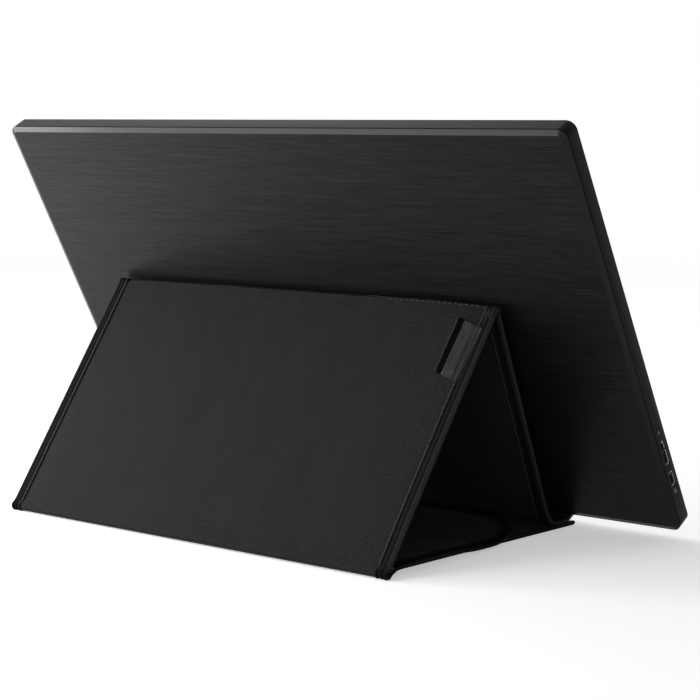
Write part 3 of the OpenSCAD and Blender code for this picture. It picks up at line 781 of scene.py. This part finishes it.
def tape_wear_and_highlight(a):
    """How much lighter the tape's face is painted, from 0 to 1: rubbing, and painted highlight on
    the nose, the band and the sewn bead.
    """
    return (0.8 * bump(STITCH_IN, 0.5, a) + 0.22 * bump(4.1, 0.75, a) + 0.06
            + 0.6 * bump(NOSE_IN - 0.2, 0.7, a))


TAPE_FACE = (TAPE_LEG, TAPE_LEG - 0.12, TAPE_LEG - 0.3, 7.1, STITCH_IN, 6.4, 6.0, 5.7, VALLEY_IN,
             5.1, 4.8, 4.3, 3.8, 3.3, DIP_IN, 2.5, 2.1, NOSE_IN)
NOSE_ANGLES = [radians(a) for a in (70, 48, 28, 10, -10, -28, -48, -70)]


def tape_section(edge, half):
    """Points round the tape as (way in, height, lighter by rubbing and painted highlight), from its
    outer inside edge.
    """
    top = tape_height(NOSE_IN, half)
    section = [(a, tape_height(a, half) + edge.bulge, tape_wear_and_highlight(a)) for a in TAPE_FACE]
    # The nose's line of rubbing and painted highlight lies at the edge's shine.
    for angle in NOSE_ANGLES:
        height = mix(-min(top, edge.room), top + edge.bulge, (1 + sin(angle)) / 2)
        section.append((NOSE_IN * (1 - cos(angle)), height,
                        bump(edge.shine, 0.5, sin(angle))))
    return section + [(a, -min(tape_height(a, half), edge.room), tape_wear_and_highlight(a))
                      for a in reversed(TAPE_FACE)]


def edge_tape(name, edges, half=TAPE_HALF, **about):
    """A tape along these edges. Its half thickness is one number, or one for every edge."""
    rings, cloth = [], []
    for i, edge in enumerate(edges):
        section = tape_section(edge, half[i] if isinstance(half, list) else half)
        rings.append(above_floor(edge.at(a, height) for a, height, _ in section))
        # The third cloth value is how much lighter the tape is painted, for rubbing and painted
        # highlight.
        cloth += [(a, edge.run, lightening * edge.wear_and_highlight) for a, _, lightening in section]
    return sweep(name, rings, "binding_tape", cloth=cloth, **about)


STITCH_RINGS = ((-1.0, 0.25), (-0.8, 0.8), (-0.35, 1.0), (0.35, 1.0), (0.8, 0.8), (1.0, 0.25))


def stitch(middle, run_way, outward, length=2.3, radius=0.17):
    """Points of one stitch, a short thread that dips into the cloth at both ends."""
    sideways = run_way.cross(outward)
    points = []
    for t, size in STITCH_RINGS:
        centre = middle + run_way * (t * length / 2) + outward * (0.08 - 0.22 * t * t)
        for k in range(6):
            angle = k * pi / 3
            points.append(centre + (sideways * cos(angle) * 1.25
                                    + outward * sin(angle) * 0.8) * radius * size)
    return points


def sewn(name, stitches, **about):
    """One mesh of many stitches, each a list of points from stitch()."""
    points, faces = [], []
    for thread in stitches:
        start = len(points)
        points += above_floor(thread)
        for i in range(len(STITCH_RINGS) - 1):
            faces += bridge(start + i * 6, start + i * 6 + 6, 6)
        faces += [tuple(range(start, start + 6)),
                  tuple(range(start + 6 * len(STITCH_RINGS) - 6, start + 6 * len(STITCH_RINGS)))]
    return solid(name, points, faces, "thread", **about)


def edge_stitches(edges, half=TAPE_HALF):
    """Stitches on both faces of an edge tape, one to every fourth station."""
    made = []
    for i in range(2, len(edges) - 1, 4):
        edge = edges[i]
        way = (edges[i + 1].point - edges[i - 1].point).normalized()
        height = tape_height(STITCH_IN, half)
        made.append(stitch(edge.at(STITCH_IN, height + edge.bulge), way, edge.outward))
        if edge.room > height:
            made.append(stitch(edge.at(STITCH_IN, -height), way, -edge.outward))
    return made


SIDES = {"right": -1, "left": 1}


def apex_bulge(station):
    """The tape stands proud where it turns over the ridge."""
    return 0.65 * bump(0, 2.2, station.away(RIDGE))


def hem_bulge(station):
    return 1.3 * bump(0, 2.4, station.away(HEM))


def with_wear_and_highlight(edges):
    """The line of rubbing and painted highlight runs outside on the rear panel, over the ridge, and
    inside on the front, and grows weaker round the hem.
    """
    for edge in edges:
        over = smooth(ridge_line[0].run - 4, ridge_line[-1].run + 4, edge.run)
        edge.shine = mix(-0.35, 0.55, over)
        edge.wear_and_highlight = 1 - 0.7 * smooth(hem_line[0].run, hem_round[0].run + 1, edge.run)
    return edges


for hand, side in SIDES.items():
    panel_edges = {"front": with_wear_and_highlight(cloth_edges(front, side)),
                   "rear": with_wear_and_highlight(cloth_edges(rear, side))}
    for panel, edges in panel_edges.items():
        edge_tape(panel + "_tape_" + hand, edges, body=panel + "_panel",
                  replaces=[panel + "_binding_" + hand])
    for panel, edges in panel_edges.items():
        sewn(panel + "_stitches_" + hand, edge_stitches(edges), body=panel + "_panel")
    ridge_edges = with_wear_and_highlight(cloth_edges(ridge_line, side, apex_bulge))
    blended(edge_tape("ridge_tape_" + hand, ridge_edges), *ridge_bend)
    curl_edges = with_wear_and_highlight(cloth_edges(curl_line, side,
                                       lambda s: -TAPE_CREASE_IN * curl_pressed(s)))
    for edge in curl_edges:
        edge.room = mix(PANEL_HALF - 0.1, TAPE_HALF, smooth(2, 9, edge.run - curl_edges[0].run))
    blended(edge_tape("curl_tape_" + hand, curl_edges), *curl_bend)
    blended(sewn("curl_stitches_" + hand, edge_stitches(curl_edges)), *curl_bend)

# The row of stitches that closes the panels' pocket along the ridge. It shows at the right-hand
# end and lies behind the fuller crown from the middle on.
ridge_stitches = []
for x in spread(COVER_X0 + TAPE_LEG + 1, COVER_X1 - TAPE_LEG - 1, 3.4):
    row = ridge_over[round(mix(len(ridge_over) - 3, len(ridge_over) / 2 - 4, smooth(-62, -28, x)))]
    height = ridge_half_at(x, row) + ridge_crown(x) - 0.05
    ridge_stitches.append(stitch(row.point(x, height), Vector((1, 0, 0)), row.outward(), 2.3, 0.24))
blended(sewn("ridge_stitches", ridge_stitches), *ridge_bend)


# ---------- the flap ----------

FLAP_CORNER = 50
FLAP_TAPE_HALF = 1.4
FLAP_BOARD_IN = 4.5
FLAP_BOARD_HALF = 0.45
FLAP_WIDENS = 35
FLAP_PART = 0.028
flap_y0 = low("flap_binding").y


def flap_reach(y, inset):
    """Half width of the flap at y, when it is pulled in by inset all round."""
    r = FLAP_CORNER - inset
    full = (COVER_X1 - COVER_X0) / 2 - inset
    below = flap_y0 + FLAP_CORNER - y
    return full if below <= 0 else full - r + sqrt(r * r - min(below, r) ** 2)


def flap_sag(x, y):
    """The flap's free edges hang over the base's, and its rear edges stand a little high."""
    reach = y - flap_y0
    hang = -1.45 * smooth(34, 50, reach) * (1 - smooth(52, 90, reach))
    stand = 1.05 * smooth(62, 96, reach) * (1 - 0.65 * smooth(116, 131, reach))
    side = from_side(x)
    return (hang * (1 - smooth(0, 9, side)) + stand * (1 - smooth(2, 34, side))
            + 0.35 * smooth(20, 60, side) * ripple(x, y, 45, 61))


class FlapStation(Station):
    """A place on the flap, which sags."""

    def point(self, x, out):
        return Vector((drawn_in(x, self.pull), self.y, self.z - out + flap_sag(x, self.y)))


flap_ys = [flap_y0 + mix(SKIN_IN, FLAP_CORNER, 1 - cos(t * pi / 2)) for t in spread(0, 1, 0.045)]
flap_ys += spread(flap_y0 + FLAP_CORNER, flap_y1, 2.5)[1:]


def flap_pull(y):
    """The flap starts as narrow as the hem and soon has its full width."""
    return HEM_PULL * smooth(flap_y1 - FLAP_WIDENS, flap_y1, y)


flap_stations = [FlapStation(y, FLAP_MID, -pi, hem_rise[-1].run + flap_y1 - y,
                             pull=flap_pull(y)) for y in reversed(flap_ys)]


def flap_columns(inset=SKIN_IN):
    """Places across the flap, pulled in by inset all round."""
    return lambda station: [COVER_MID + flap_reach(station.y, inset) * t
                            for t in spread(-1, 1, FLAP_PART)]


def flap_face(x, station, seed, waves):
    side = flap_reach(station.y, 0) - abs(x - COVER_MID)
    inner = smooth(TAPE_LEG - 0.5, TAPE_LEG + 10, min(side, station.y - flap_y0))
    return FLAP_HALF - 0.1 * (1 - inner) + inner * waves * ripple(x, station.y, 30, seed)


for name, seed, waves, side, node, held, under in (
        ("flap_cloth", 71, 0.2, 1, "flap_fabric", "laid", "base_inner_cloth"),
        ("flap_inner_cloth", 81, 0.5, -1, "flap_lining", "stretched", "flap_stiffener")):
    skin(name, flap_stations, flap_columns(), lambda x, s: flap_face(x, s, seed, waves), SKIN,
         side, [node], held, under, body="rear_flap")
board_stations = [station for station in flap_stations if station.y > flap_y0 + FLAP_BOARD_IN]
ribbon("flap_stiffener", board_stations, flap_columns(FLAP_BOARD_IN), FLAP_BOARD_HALF,
       2 * FLAP_BOARD_HALF, 1, "panel_stiffener", body="rear_flap", replaces=["flap_board"])


def flap_edges():
    """Round the flap's outline, from the left rear corner to the right."""
    corner_y = flap_y0 + FLAP_CORNER
    steps = round(FLAP_CORNER * pi / 2 / STEP)
    left = [(COVER_X1, y, (-1, 0)) for y in spread(flap_y1, corner_y, STEP)]
    for a in [i / steps * pi / 2 for i in range(1, steps)]:
        left.append((COVER_X1 - FLAP_CORNER * (1 - cos(a)),
                     corner_y - FLAP_CORNER * sin(a), (-cos(a), sin(a))))
    across = spread(COVER_X1 - FLAP_CORNER, COVER_X0 + FLAP_CORNER, STEP)
    spots = left + [(x, flap_y0, (0, 1)) for x in across]
    spots += [(2 * COVER_MID - x, y, (-dx, dy)) for x, y, (dx, dy) in reversed(left)]
    edges = []
    for i, (x, y, inward) in enumerate(spots):
        nose = Vector((drawn_in(x, flap_pull(y)), y, FLAP_MID + flap_sag(x, y)))
        inside = nose + Vector((*inward, 0)) * TAPE_LEG
        inside.z = FLAP_MID + flap_sag(inside.x, inside.y)
        inward = (inside - nose).normalized()
        ahead = Vector((-inward.y, inward.x, 0)).normalized()
        # The flap's tape gets weaker rubbing and painted highlight.
        edges.append(Edge(nose, inward, ahead.cross(inward), i * STEP, wear_and_highlight=0.35))
    return edges


flap_line = flap_edges()
edge_tape("flap_tape", flap_line, FLAP_TAPE_HALF, body="rear_flap", replaces=["flap_binding"])
sewn("flap_stitches", edge_stitches(flap_line, FLAP_TAPE_HALF), body="rear_flap")

hem_bend = ("rear_panel", "rear_flap", (0, HEM.y + 0.4, HEM.z), (0, HEM.y - 3.2, HEM.z))


def hem_part(station):
    """0 on the panel's side of the hem and 1 on the flap's."""
    return smooth(hem_round[0].run, hem_rise[-1].run, station.run)


def hem_half_at(x, station):
    return mix(PANEL_HALF, FLAP_HALF, hem_part(station))


blended(fold_cloth("hem_cloth", hem_line, hem_half_at, lambda x, s: 0.85 * hem_bulge(s),
                   replaces=["hem_fold"]), *hem_bend)
hem_halves = [mix(TAPE_HALF, FLAP_TAPE_HALF, hem_part(station)) for station in hem_line]
for hand, side in SIDES.items():
    hem_edges = with_wear_and_highlight(cloth_edges(hem_line, side, hem_bulge))
    blended(edge_tape("hem_tape_" + hand, hem_edges, hem_halves), *hem_bend)


# ---------- the base ----------

BASE_HALF = 1.2
BASE_SKIN = 0.4
BASE_PART = 0.016
base_y0, base_y1 = low("base_fabric").y, high("base_fabric").y
base_x0, base_x1 = low("base_binding_right").x, high("base_binding_left").x
BASE_DRAW_IN = high("base_binding_right").x - base_x0 - BASE_TAPE_LEG


def base_side(y, side):
    """The base's long edges draw in towards the rear."""
    drawn = BASE_DRAW_IN * (y - base_y0) / (base_y1 - base_y0)
    return base_x0 + drawn if side < 0 else base_x1 - drawn


def base_round(y):
    """Share of its half thickness that the base keeps near its front and rear edges."""
    depth = min(y - base_y0, base_y1 - y, BASE_HALF)
    return sqrt(max(0.0, 1 - ((BASE_HALF - depth) / BASE_HALF) ** 2))


base_ends = [BASE_HALF * (1 - cos(t * pi / 2)) for t in spread(0.12, 1, 0.18)]
base_ys = ([base_y0 + end for end in base_ends] + spread(base_y0 + 3, base_y1 - 3, 3)
           + [base_y1 - end for end in reversed(base_ends)])
base_stations = [Station(y, BASE_HALF, 0.0, y - base_y0) for y in base_ys]


def base_across(station):
    a, b = base_side(station.y, -1) + SKIN_IN, base_side(station.y, 1) - SKIN_IN
    return [mix(a, b, t) for t in spread(0, 1, BASE_PART)]


def base_face(x, station, seed, waves):
    side = min(x - base_side(station.y, -1), base_side(station.y, 1) - x)
    inner = smooth(TAPE_LEG - 0.5, TAPE_LEG + 10, side)
    uneven = inner * waves * (ripple(x, station.y, 40, seed) - 0.3)
    return (BASE_HALF - 0.12) * base_round(station.y) + uneven


for name, seed, waves, side, node in (("base_inner_cloth", 91, 0.25, 1, "base_lining"),
                                      ("base_cloth", 95, 0.0, -1, "base_fabric")):
    skin(name, base_stations, base_across, lambda x, s: base_face(x, s, seed, waves), BASE_SKIN,
         side, [node], "stretched", "base_board", body="base")
for hand, side in SIDES.items():
    # The base's tape has its line of rubbing and painted highlight at shine 0.4, at half strength.
    base_line = [Edge((base_side(y, side), y, BASE_HALF), (-side, 0, 0), (0, 0, 1), y,
                      room=(BASE_HALF - 0.02) * max(0.1, base_round(y)), shine=0.4, wear_and_highlight=0.5)
                 for y in spread(base_y0 + 0.15, base_y1 - 0.15, STEP)]
    edge_tape("base_tape_" + hand, base_line, BASE_HALF, body="base",
              replaces=["base_binding_" + hand])
    sewn("base_stitches_" + hand, edge_stitches(base_line, BASE_HALF), body="base")

ribbon("tray_cloth", tray, panel_columns(), PANEL_HALF, 2 * PANEL_HALF, 1, "woven_fabric",
       body="base", replaces=["tray_strip"])
for hand, side in SIDES.items():
    tray_edges = cloth_edges(tray, side)
    for edge in tray_edges:
        edge.room = PANEL_HALF - 0.1
    edge_tape("tray_tape_" + hand, tray_edges, body="base")


# ---------- the ledge that the monitor stands in ----------


def on_monitor(x, v, w):
    return MONITOR_EDGE + Vector((x, 0, 0)) + UP * v + FORWARD * w


LEDGE_HALF = 0.8
LEDGE_UP, LEDGE_ON, LEDGE_R, LEDGE_STEP = 11.8, 8.2, 1.0, 1.0
ledge_start = on_monitor(0, -1.05, -1.2)
ledge_walk = Walk(ledge_start.y, ledge_start.z, pi - LEAN)
ledge_line = joined(ledge_walk.go(LEDGE_UP, step=LEDGE_STEP),
                    ledge_walk.go(LEDGE_R * pi / 2, -pi / 2, least=6),
                    ledge_walk.go(LEDGE_ON, step=LEDGE_STEP))
skin("ledge_cloth", ledge_line, panel_columns(0.3), LEDGE_HALF, 2 * LEDGE_HALF, 1,
     ["ledge_strip", "ledge_lip"], "folded", "tray_cloth", body="ledge")
link_end = Station(ledge_start.y, ledge_start.z, ledge_line[0].slope, 2)
link_start = Station(tray[0].y + 1, tray_mid, pi, 0)
link = [Station(mix(link_start.y, link_end.y, t), mix(link_start.z, link_end.z, t * t),
                mix(link_start.slope, link_end.slope, t), 3 * t) for t in spread(0, 1, 0.2)]
blended(ribbon("ledge_link_cloth", link, panel_columns(0.6), LEDGE_HALF, 2 * LEDGE_HALF, 1,
               "woven_fabric"), "base", "ledge", (0, link_start.y, link_start.z),
        (0, link_end.y, link_end.z))


# ---------- label tab ----------

# Corners of the tab as (x, distance down from the ridge): right and left, top and low
TAB_TOP = (-118.6, 12.0), (-103.7, 7.9)
TAB_LOW = (-117.2, 43.8), (-103.3, 39.8)
TAB_LONG = 32
TAB_FOLD = 0.68
TAB_T = 0.55


def tab_lift(u, run):
    """Height of the tab over the cloth, u across from the tape to the folded edge."""
    lift = 0.3 + 0.45 * smooth(-0.05, 0.3, u) + 0.25 * smooth(0.3, TAB_FOLD - 0.05, u)
    lift -= 0.35 * smooth(TAB_FOLD - 0.04, TAB_FOLD, u)
    return lift + 0.25 * bump(0.97, 0.06, u) + 0.22 * ripple(u * 14, run, 9, 5)


def cloth_height(x, down):
    """Height of the rear panel's cloth over its middle."""
    return rear_face(x, Station(0, 0, 0, rear[0].run - FOLD_RUN + down))


def rear_point(x, down, out):
    """A place on the rear panel, this far down from the ridge."""
    along = Vector((0, cos(REAR_SLOPE), sin(REAR_SLOPE)))
    normal = Vector((0, -sin(REAR_SLOPE), cos(REAR_SLOPE)))
    return Vector((drawn_in(x, rear_pull(down)), RIDGE.y, RIDGE.z)) + along * down + normal * out


def tab_place(u, t):
    """(x, distance down from the ridge) at u across the tab and t along it."""
    return [mix(mix(TAB_TOP[0][i], TAB_LOW[0][i], t), mix(TAB_TOP[1][i], TAB_LOW[1][i], t), u)
            for i in (0, 1)]


def tab_strip(name, us, outer_edge, finish, **about):
    """Part of the tab across its width, as long as the tab. Its outer edge may be rounded."""
    rings, cloth = [], []
    for t in spread(0, 1, 0.04):
        soft = smooth(-0.6, 0.9, min(t, 1 - t) * TAB_LONG)
        top = [(u, cloth_height(*tab_place(u, t)) + tab_lift(u, t * TAB_LONG) * mix(0.5, 1, soft))
               for u in us]
        section = list(top)
        if outer_edge:
            last, height = top[-1]
            section += [(last + 0.022 * sin(a), height - TAB_T / 2 * (1 - cos(a)))
                        for a in (0.7, 1.3, 1.85, 2.4)]
        section += [(u, height - TAB_T) for u, height in reversed(top)]
        # Painted highlights at the tab's two ends, and a line of rubbing and painted highlight
        # along the folded outer edge.
        ends = 0 if outer_edge else 0.5 * (bump(0.04, 0.1, t) + bump(0.94, 0.1, t))
        cloth += [(u, t, ends + bump(0.98, 0.04, u)) for u, _ in section]
        rings.append([rear_point(*tab_place(u, t), height) for u, height in section])
    return sweep(name, rings, finish, cloth=cloth, body="rear_panel", **about)


tab_strip("label_leather_tab", spread(-0.1, TAB_FOLD, 0.04), False, "label_leather",
          replaces=["label_tab"])
tab_strip("label_tab_fold", spread(TAB_FOLD - 0.02, 0.98, 0.03), True, "binding_tape")


# ---------- monitor casings ----------


def rounded(x0, x1, v0, v1, radius, steps=8):
    """Rectangle with round corners, as points that go round once."""
    loop = []
    for k, (x, v) in enumerate(((x1 - radius, v1 - radius), (x0 + radius, v1 - radius),
                                (x0 + radius, v0 + radius), (x1 - radius, v0 + radius))):
        for i in range(steps + 1):
            a = (k + i / steps) * pi / 2
            loop.append((x + radius * cos(a), v + radius * sin(a)))
    return loop


def outline(inset):
    half = MONITOR_W / 2 - inset
    return rounded(-half, half, inset, MONITOR_H - inset, CORNER - inset)


def window(outset):
    x0, x1, v0, v1 = WINDOW
    return rounded(x0 - outset, x1 + outset, v0 - outset, v1 + outset, 1 + outset)


def loops_at(profile, shape):
    return [[on_monitor(x, v, w) for x, v in shape(inset)] for inset, w in profile]


def cut(piece, cutters):
    """Takes the cutters' shapes out of a piece and deletes them."""
    for cutter in cutters:
        hole = piece.modifiers.new("hole", "BOOLEAN")
        hole.operation, hole.object, hole.solver = "DIFFERENCE", cutter, "EXACT"
    shown = piece.evaluated_get(bpy.context.evaluated_depsgraph_get())
    mesh = bpy.data.meshes.new_from_object(shown)
    piece.modifiers.clear()
    piece.data = mesh
    finish_mesh(mesh, "bezel_plastic", 32)
    for cutter in cutters:
        bpy.data.objects.remove(cutter)


def in_button_row(x, half_w, half_v, radius, steps=5):
    """Rounded outline in the lower frame, about a place in the buttons' row."""
    return rounded(x - half_w, x + half_w, BUTTON_UP - half_v, BUTTON_UP + half_v, radius, steps)


def side_rings(loop, depths):
    """Rings in the monitor's right-hand wall, at depths in from its face."""
    return [[on_monitor(depth - MONITOR_W / 2, v, w) for v, w in loop] for depth in depths]


def side_cutter(loop):
    return sweep("cutter", side_rings(loop, (-2, 2.5)), "bezel_plastic")


def face_cutter(loop):
    rings = loops_at([(0, LIP_W0 - 1), (0, MONITOR_T + 2)], lambda inset: loop)
    return sweep("cutter", rings, "bezel_plastic")


def front_bezel():
    """Walls and front frame in one moulding, with rounded outer edges and a seam behind."""
    seam = SEAM_W + SEAM_GAP
    edge = 0.4
    profile = [(0.9, seam), (0.06, seam), (0, seam + 0.06)]
    for a in (0, pi / 6, pi / 3, pi / 2):
        profile.append((edge * (1 - cos(a)), MONITOR_T - edge * (1 - sin(a))))
    rings = loops_at(profile, outline)
    rings += loops_at([(0.7, MONITOR_T), (0.25, MONITOR_T - 0.1), (0, MONITOR_T - 0.4),
                       (0, LIP_W0)], window)
    rings += loops_at([(WALL, LIP_W0), (WALL, seam)], outline)
    return sweep("front_bezel_casing", rings, "bezel_plastic", looped=True, crease=32,
                 replaces=["front_bezel"])


def port_loop():
    """Outline of the data socket's hole: a wide lobe, a waist and a narrow lobe."""
    half = [(39.9, 0.9), (40.15, 1.45), (40.8, 1.7), (48.2, 1.7), (48.75, 1.45), (48.95, 0.9),
            (49.1, 0.9), (49.3, 1.2), (49.8, 1.4), (53.3, 1.4), (53.9, 1.15), (54.1, 0.7)]
    loop = [(v, SOCKET_W + h) for v, h in half]
    return loop + [(v, SOCKET_W - h + 0.35) for v, h in reversed(half)]


def slot_loop():
    """Outline of the lock slot's hole, as (v, w)."""
    loop = rounded(27.075, 34.925, SOCKET_W - 1.925, SOCKET_W + 1.925, 1.3, 5)
    return [(v, max(w, SOCKET_W - 1.5)) for v, w in loop]


bezel = front_bezel()
cut(bezel, [side_cutter(port_loop()), side_cutter(slot_loop())]
    + [face_cutter(in_button_row(x, KEY_HALF_W + 0.15, KEY_HALF_V + 0.15, 1.55))
       for x in BUTTON_XS.values()]
    + [face_cutter(in_button_row(LIGHT_X, 0.85, 0.85, 0.84))])
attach(bezel, "monitor")

# The rear cover is a plate with sloping edges, rounded where the slope meets the back
back_profile = [(0.9, SEAM_W), (0.06, SEAM_W), (0.0, SEAM_W - 0.08), (0.1, SEAM_W - 0.2),
                (BACK_SLOPE_W - 0.25, 0.1), (BACK_SLOPE_W - 0.1, 0.03), (BACK_SLOPE_W + 0.1, 0.0)]
sweep("rear_cover_casing", loops_at(back_profile, outline), "brushed_shell", crease=25,
      body="monitor", replaces=["rear_cover"])

# Tiny painted marks beside the sockets
for name, v0, v1, half, radius, steps in (("socket_mark", 58.4, 60.6, 0.6, 0.55, 5),
                                          ("slot_mark", 21.6, 24.4, 0.8, 0.4, 4)):
    loop = rounded(v0, v1, SOCKET_W - half, SOCKET_W + half, radius, steps)
    sweep(name, side_rings(loop, (0.05, -0.02, -0.03)), "mark_paint", body="monitor")

KEY_PROFILE = [(0, LIP_W0 - 0.3), (0, MONITOR_T + 0.05), (0.1, MONITOR_T + 0.28),
               (0.35, MONITOR_T + 0.4), (1.0, MONITOR_T + 0.32)]
for name, middle in BUTTON_XS.items():
    key_rings = loops_at(KEY_PROFILE, lambda inset: in_button_row(
        middle, KEY_HALF_W - inset, KEY_HALF_V - inset, max(0.3, 1.4 - inset), 6))
    sweep(name + "_cap", key_rings, "button_plastic", body=name.replace("button", "key"),
          replaces=[name])


# ---------- stage, light and camera ----------

FLOOR_HALF = 30000.0
FLOOR_TONE, GLOW_NEAR, GLOW_FAR, GLOW_REACH = 0.85, 0.45, 0.75, (0.35, 2.2)
WORLD_LIT = 0.3
CAMERA_AT = Vector((-693.7, 824.15, 230.3))
CAMERA_YAW, CAMERA_PITCH, CAMERA_ROLL = 40.746, 5.861, -0.476
PHOTO_SIZE = 700
FOCAL_PX = 1998.1
CLIP = 0.05, 100
PRINCIPAL_PX = (280.0, 301.5)
# Each lamp in metres and watts: where it is, what it faces, its size and its power
LAMPS = (("overhead", (0.55, 0.4, 1.35), (0.05, 0, 0.05), (0.8, 0.8), 6.2),
         ("left", (0.55, 0.25, 0.22), (0.0, 0, 0.13), (0.25, 0.25), 2.3),
         ("rear_low", (0.5, 0.74, 0.11), (0.0, -0.05, 0.2), (0.95, 0.13), 3.3),
         ("front_high", (0.72, -0.36, 1.05), (0.0, 0, 0.2), (0.8, 0.8), 3.6))


def stage():
    """A pale floor that shows white, and white further off where the lamps don't reach it."""
    floor = Finish("floor")
    floor.surface(Base_Color=(*grey(FLOOR_TONE), 1), Roughness=1.0, Specular_IOR_Level=0.0)
    away = floor.node("VectorMath", {"operation": "LENGTH"}, Vector=floor.coords())
    far = floor.spread(away.outputs["Value"], GLOW_NEAR, GLOW_FAR, *GLOW_REACH)
    glow = floor.node("Emission", Strength=floor.math("MULTIPLY", far,
                                                      floor.plain_background(0.0)))
    total = floor.ordered("AddShader", floor.shader.outputs[0], glow.outputs[0])
    floor.feed(floor.tree.nodes["Material Output"].inputs["Surface"], total)
    mesh = bpy.data.meshes.new("floor")
    h = FLOOR_HALF * MM
    mesh.from_pydata([(-h, -h, 0), (h, -h, 0), (h, h, 0), (-h, h, 0)], [], [(0, 1, 2, 3)])
    mesh.materials.append(floor.material)
    placed("floor", mesh)


def studio():
    world = bpy.data.worlds.new("studio")
    scene.world = world
    world.use_nodes = True
    back = world.node_tree.nodes["Background"]
    back.inputs["Color"].default_value = (1, 1, 1, 1)
    nodes = Nodes(world.node_tree)
    nodes.feed(back.inputs["Strength"], nodes.plain_background(WORLD_LIT))
    for name, at, aim, size, watts in LAMPS:
        lamp = bpy.data.lights.new(name, "AREA")
        lamp.shape, lamp.energy = "RECTANGLE", watts
        lamp.size, lamp.size_y = size
        box = placed(name, lamp)
        box.location = at
        box.rotation_euler = (Vector(aim) - Vector(at)).to_track_quat("-Z", "Y").to_euler()
        box.visible_camera = False


def camera():
    data = bpy.data.cameras.new("camera")
    data.sensor_width = 36
    data.lens = FOCAL_PX / PHOTO_SIZE * data.sensor_width
    data.shift_x = (PHOTO_SIZE / 2 - PRINCIPAL_PX[0]) / PHOTO_SIZE
    data.shift_y = (PRINCIPAL_PX[1] - PHOTO_SIZE / 2) / PHOTO_SIZE
    data.clip_start, data.clip_end = CLIP
    scene.camera = placed("camera", data)
    scene.camera.matrix_world = (Matrix.Translation(CAMERA_AT * MM)
                                 @ Matrix.Rotation(radians(180 + CAMERA_YAW), 4, "Z")
                                 @ Matrix.Rotation(radians(90 - CAMERA_PITCH), 4, "X")
                                 @ Matrix.Rotation(radians(CAMERA_ROLL), 4, "Z"))


stage()
studio()
camera()
scene.view_settings.view_transform = "Standard"
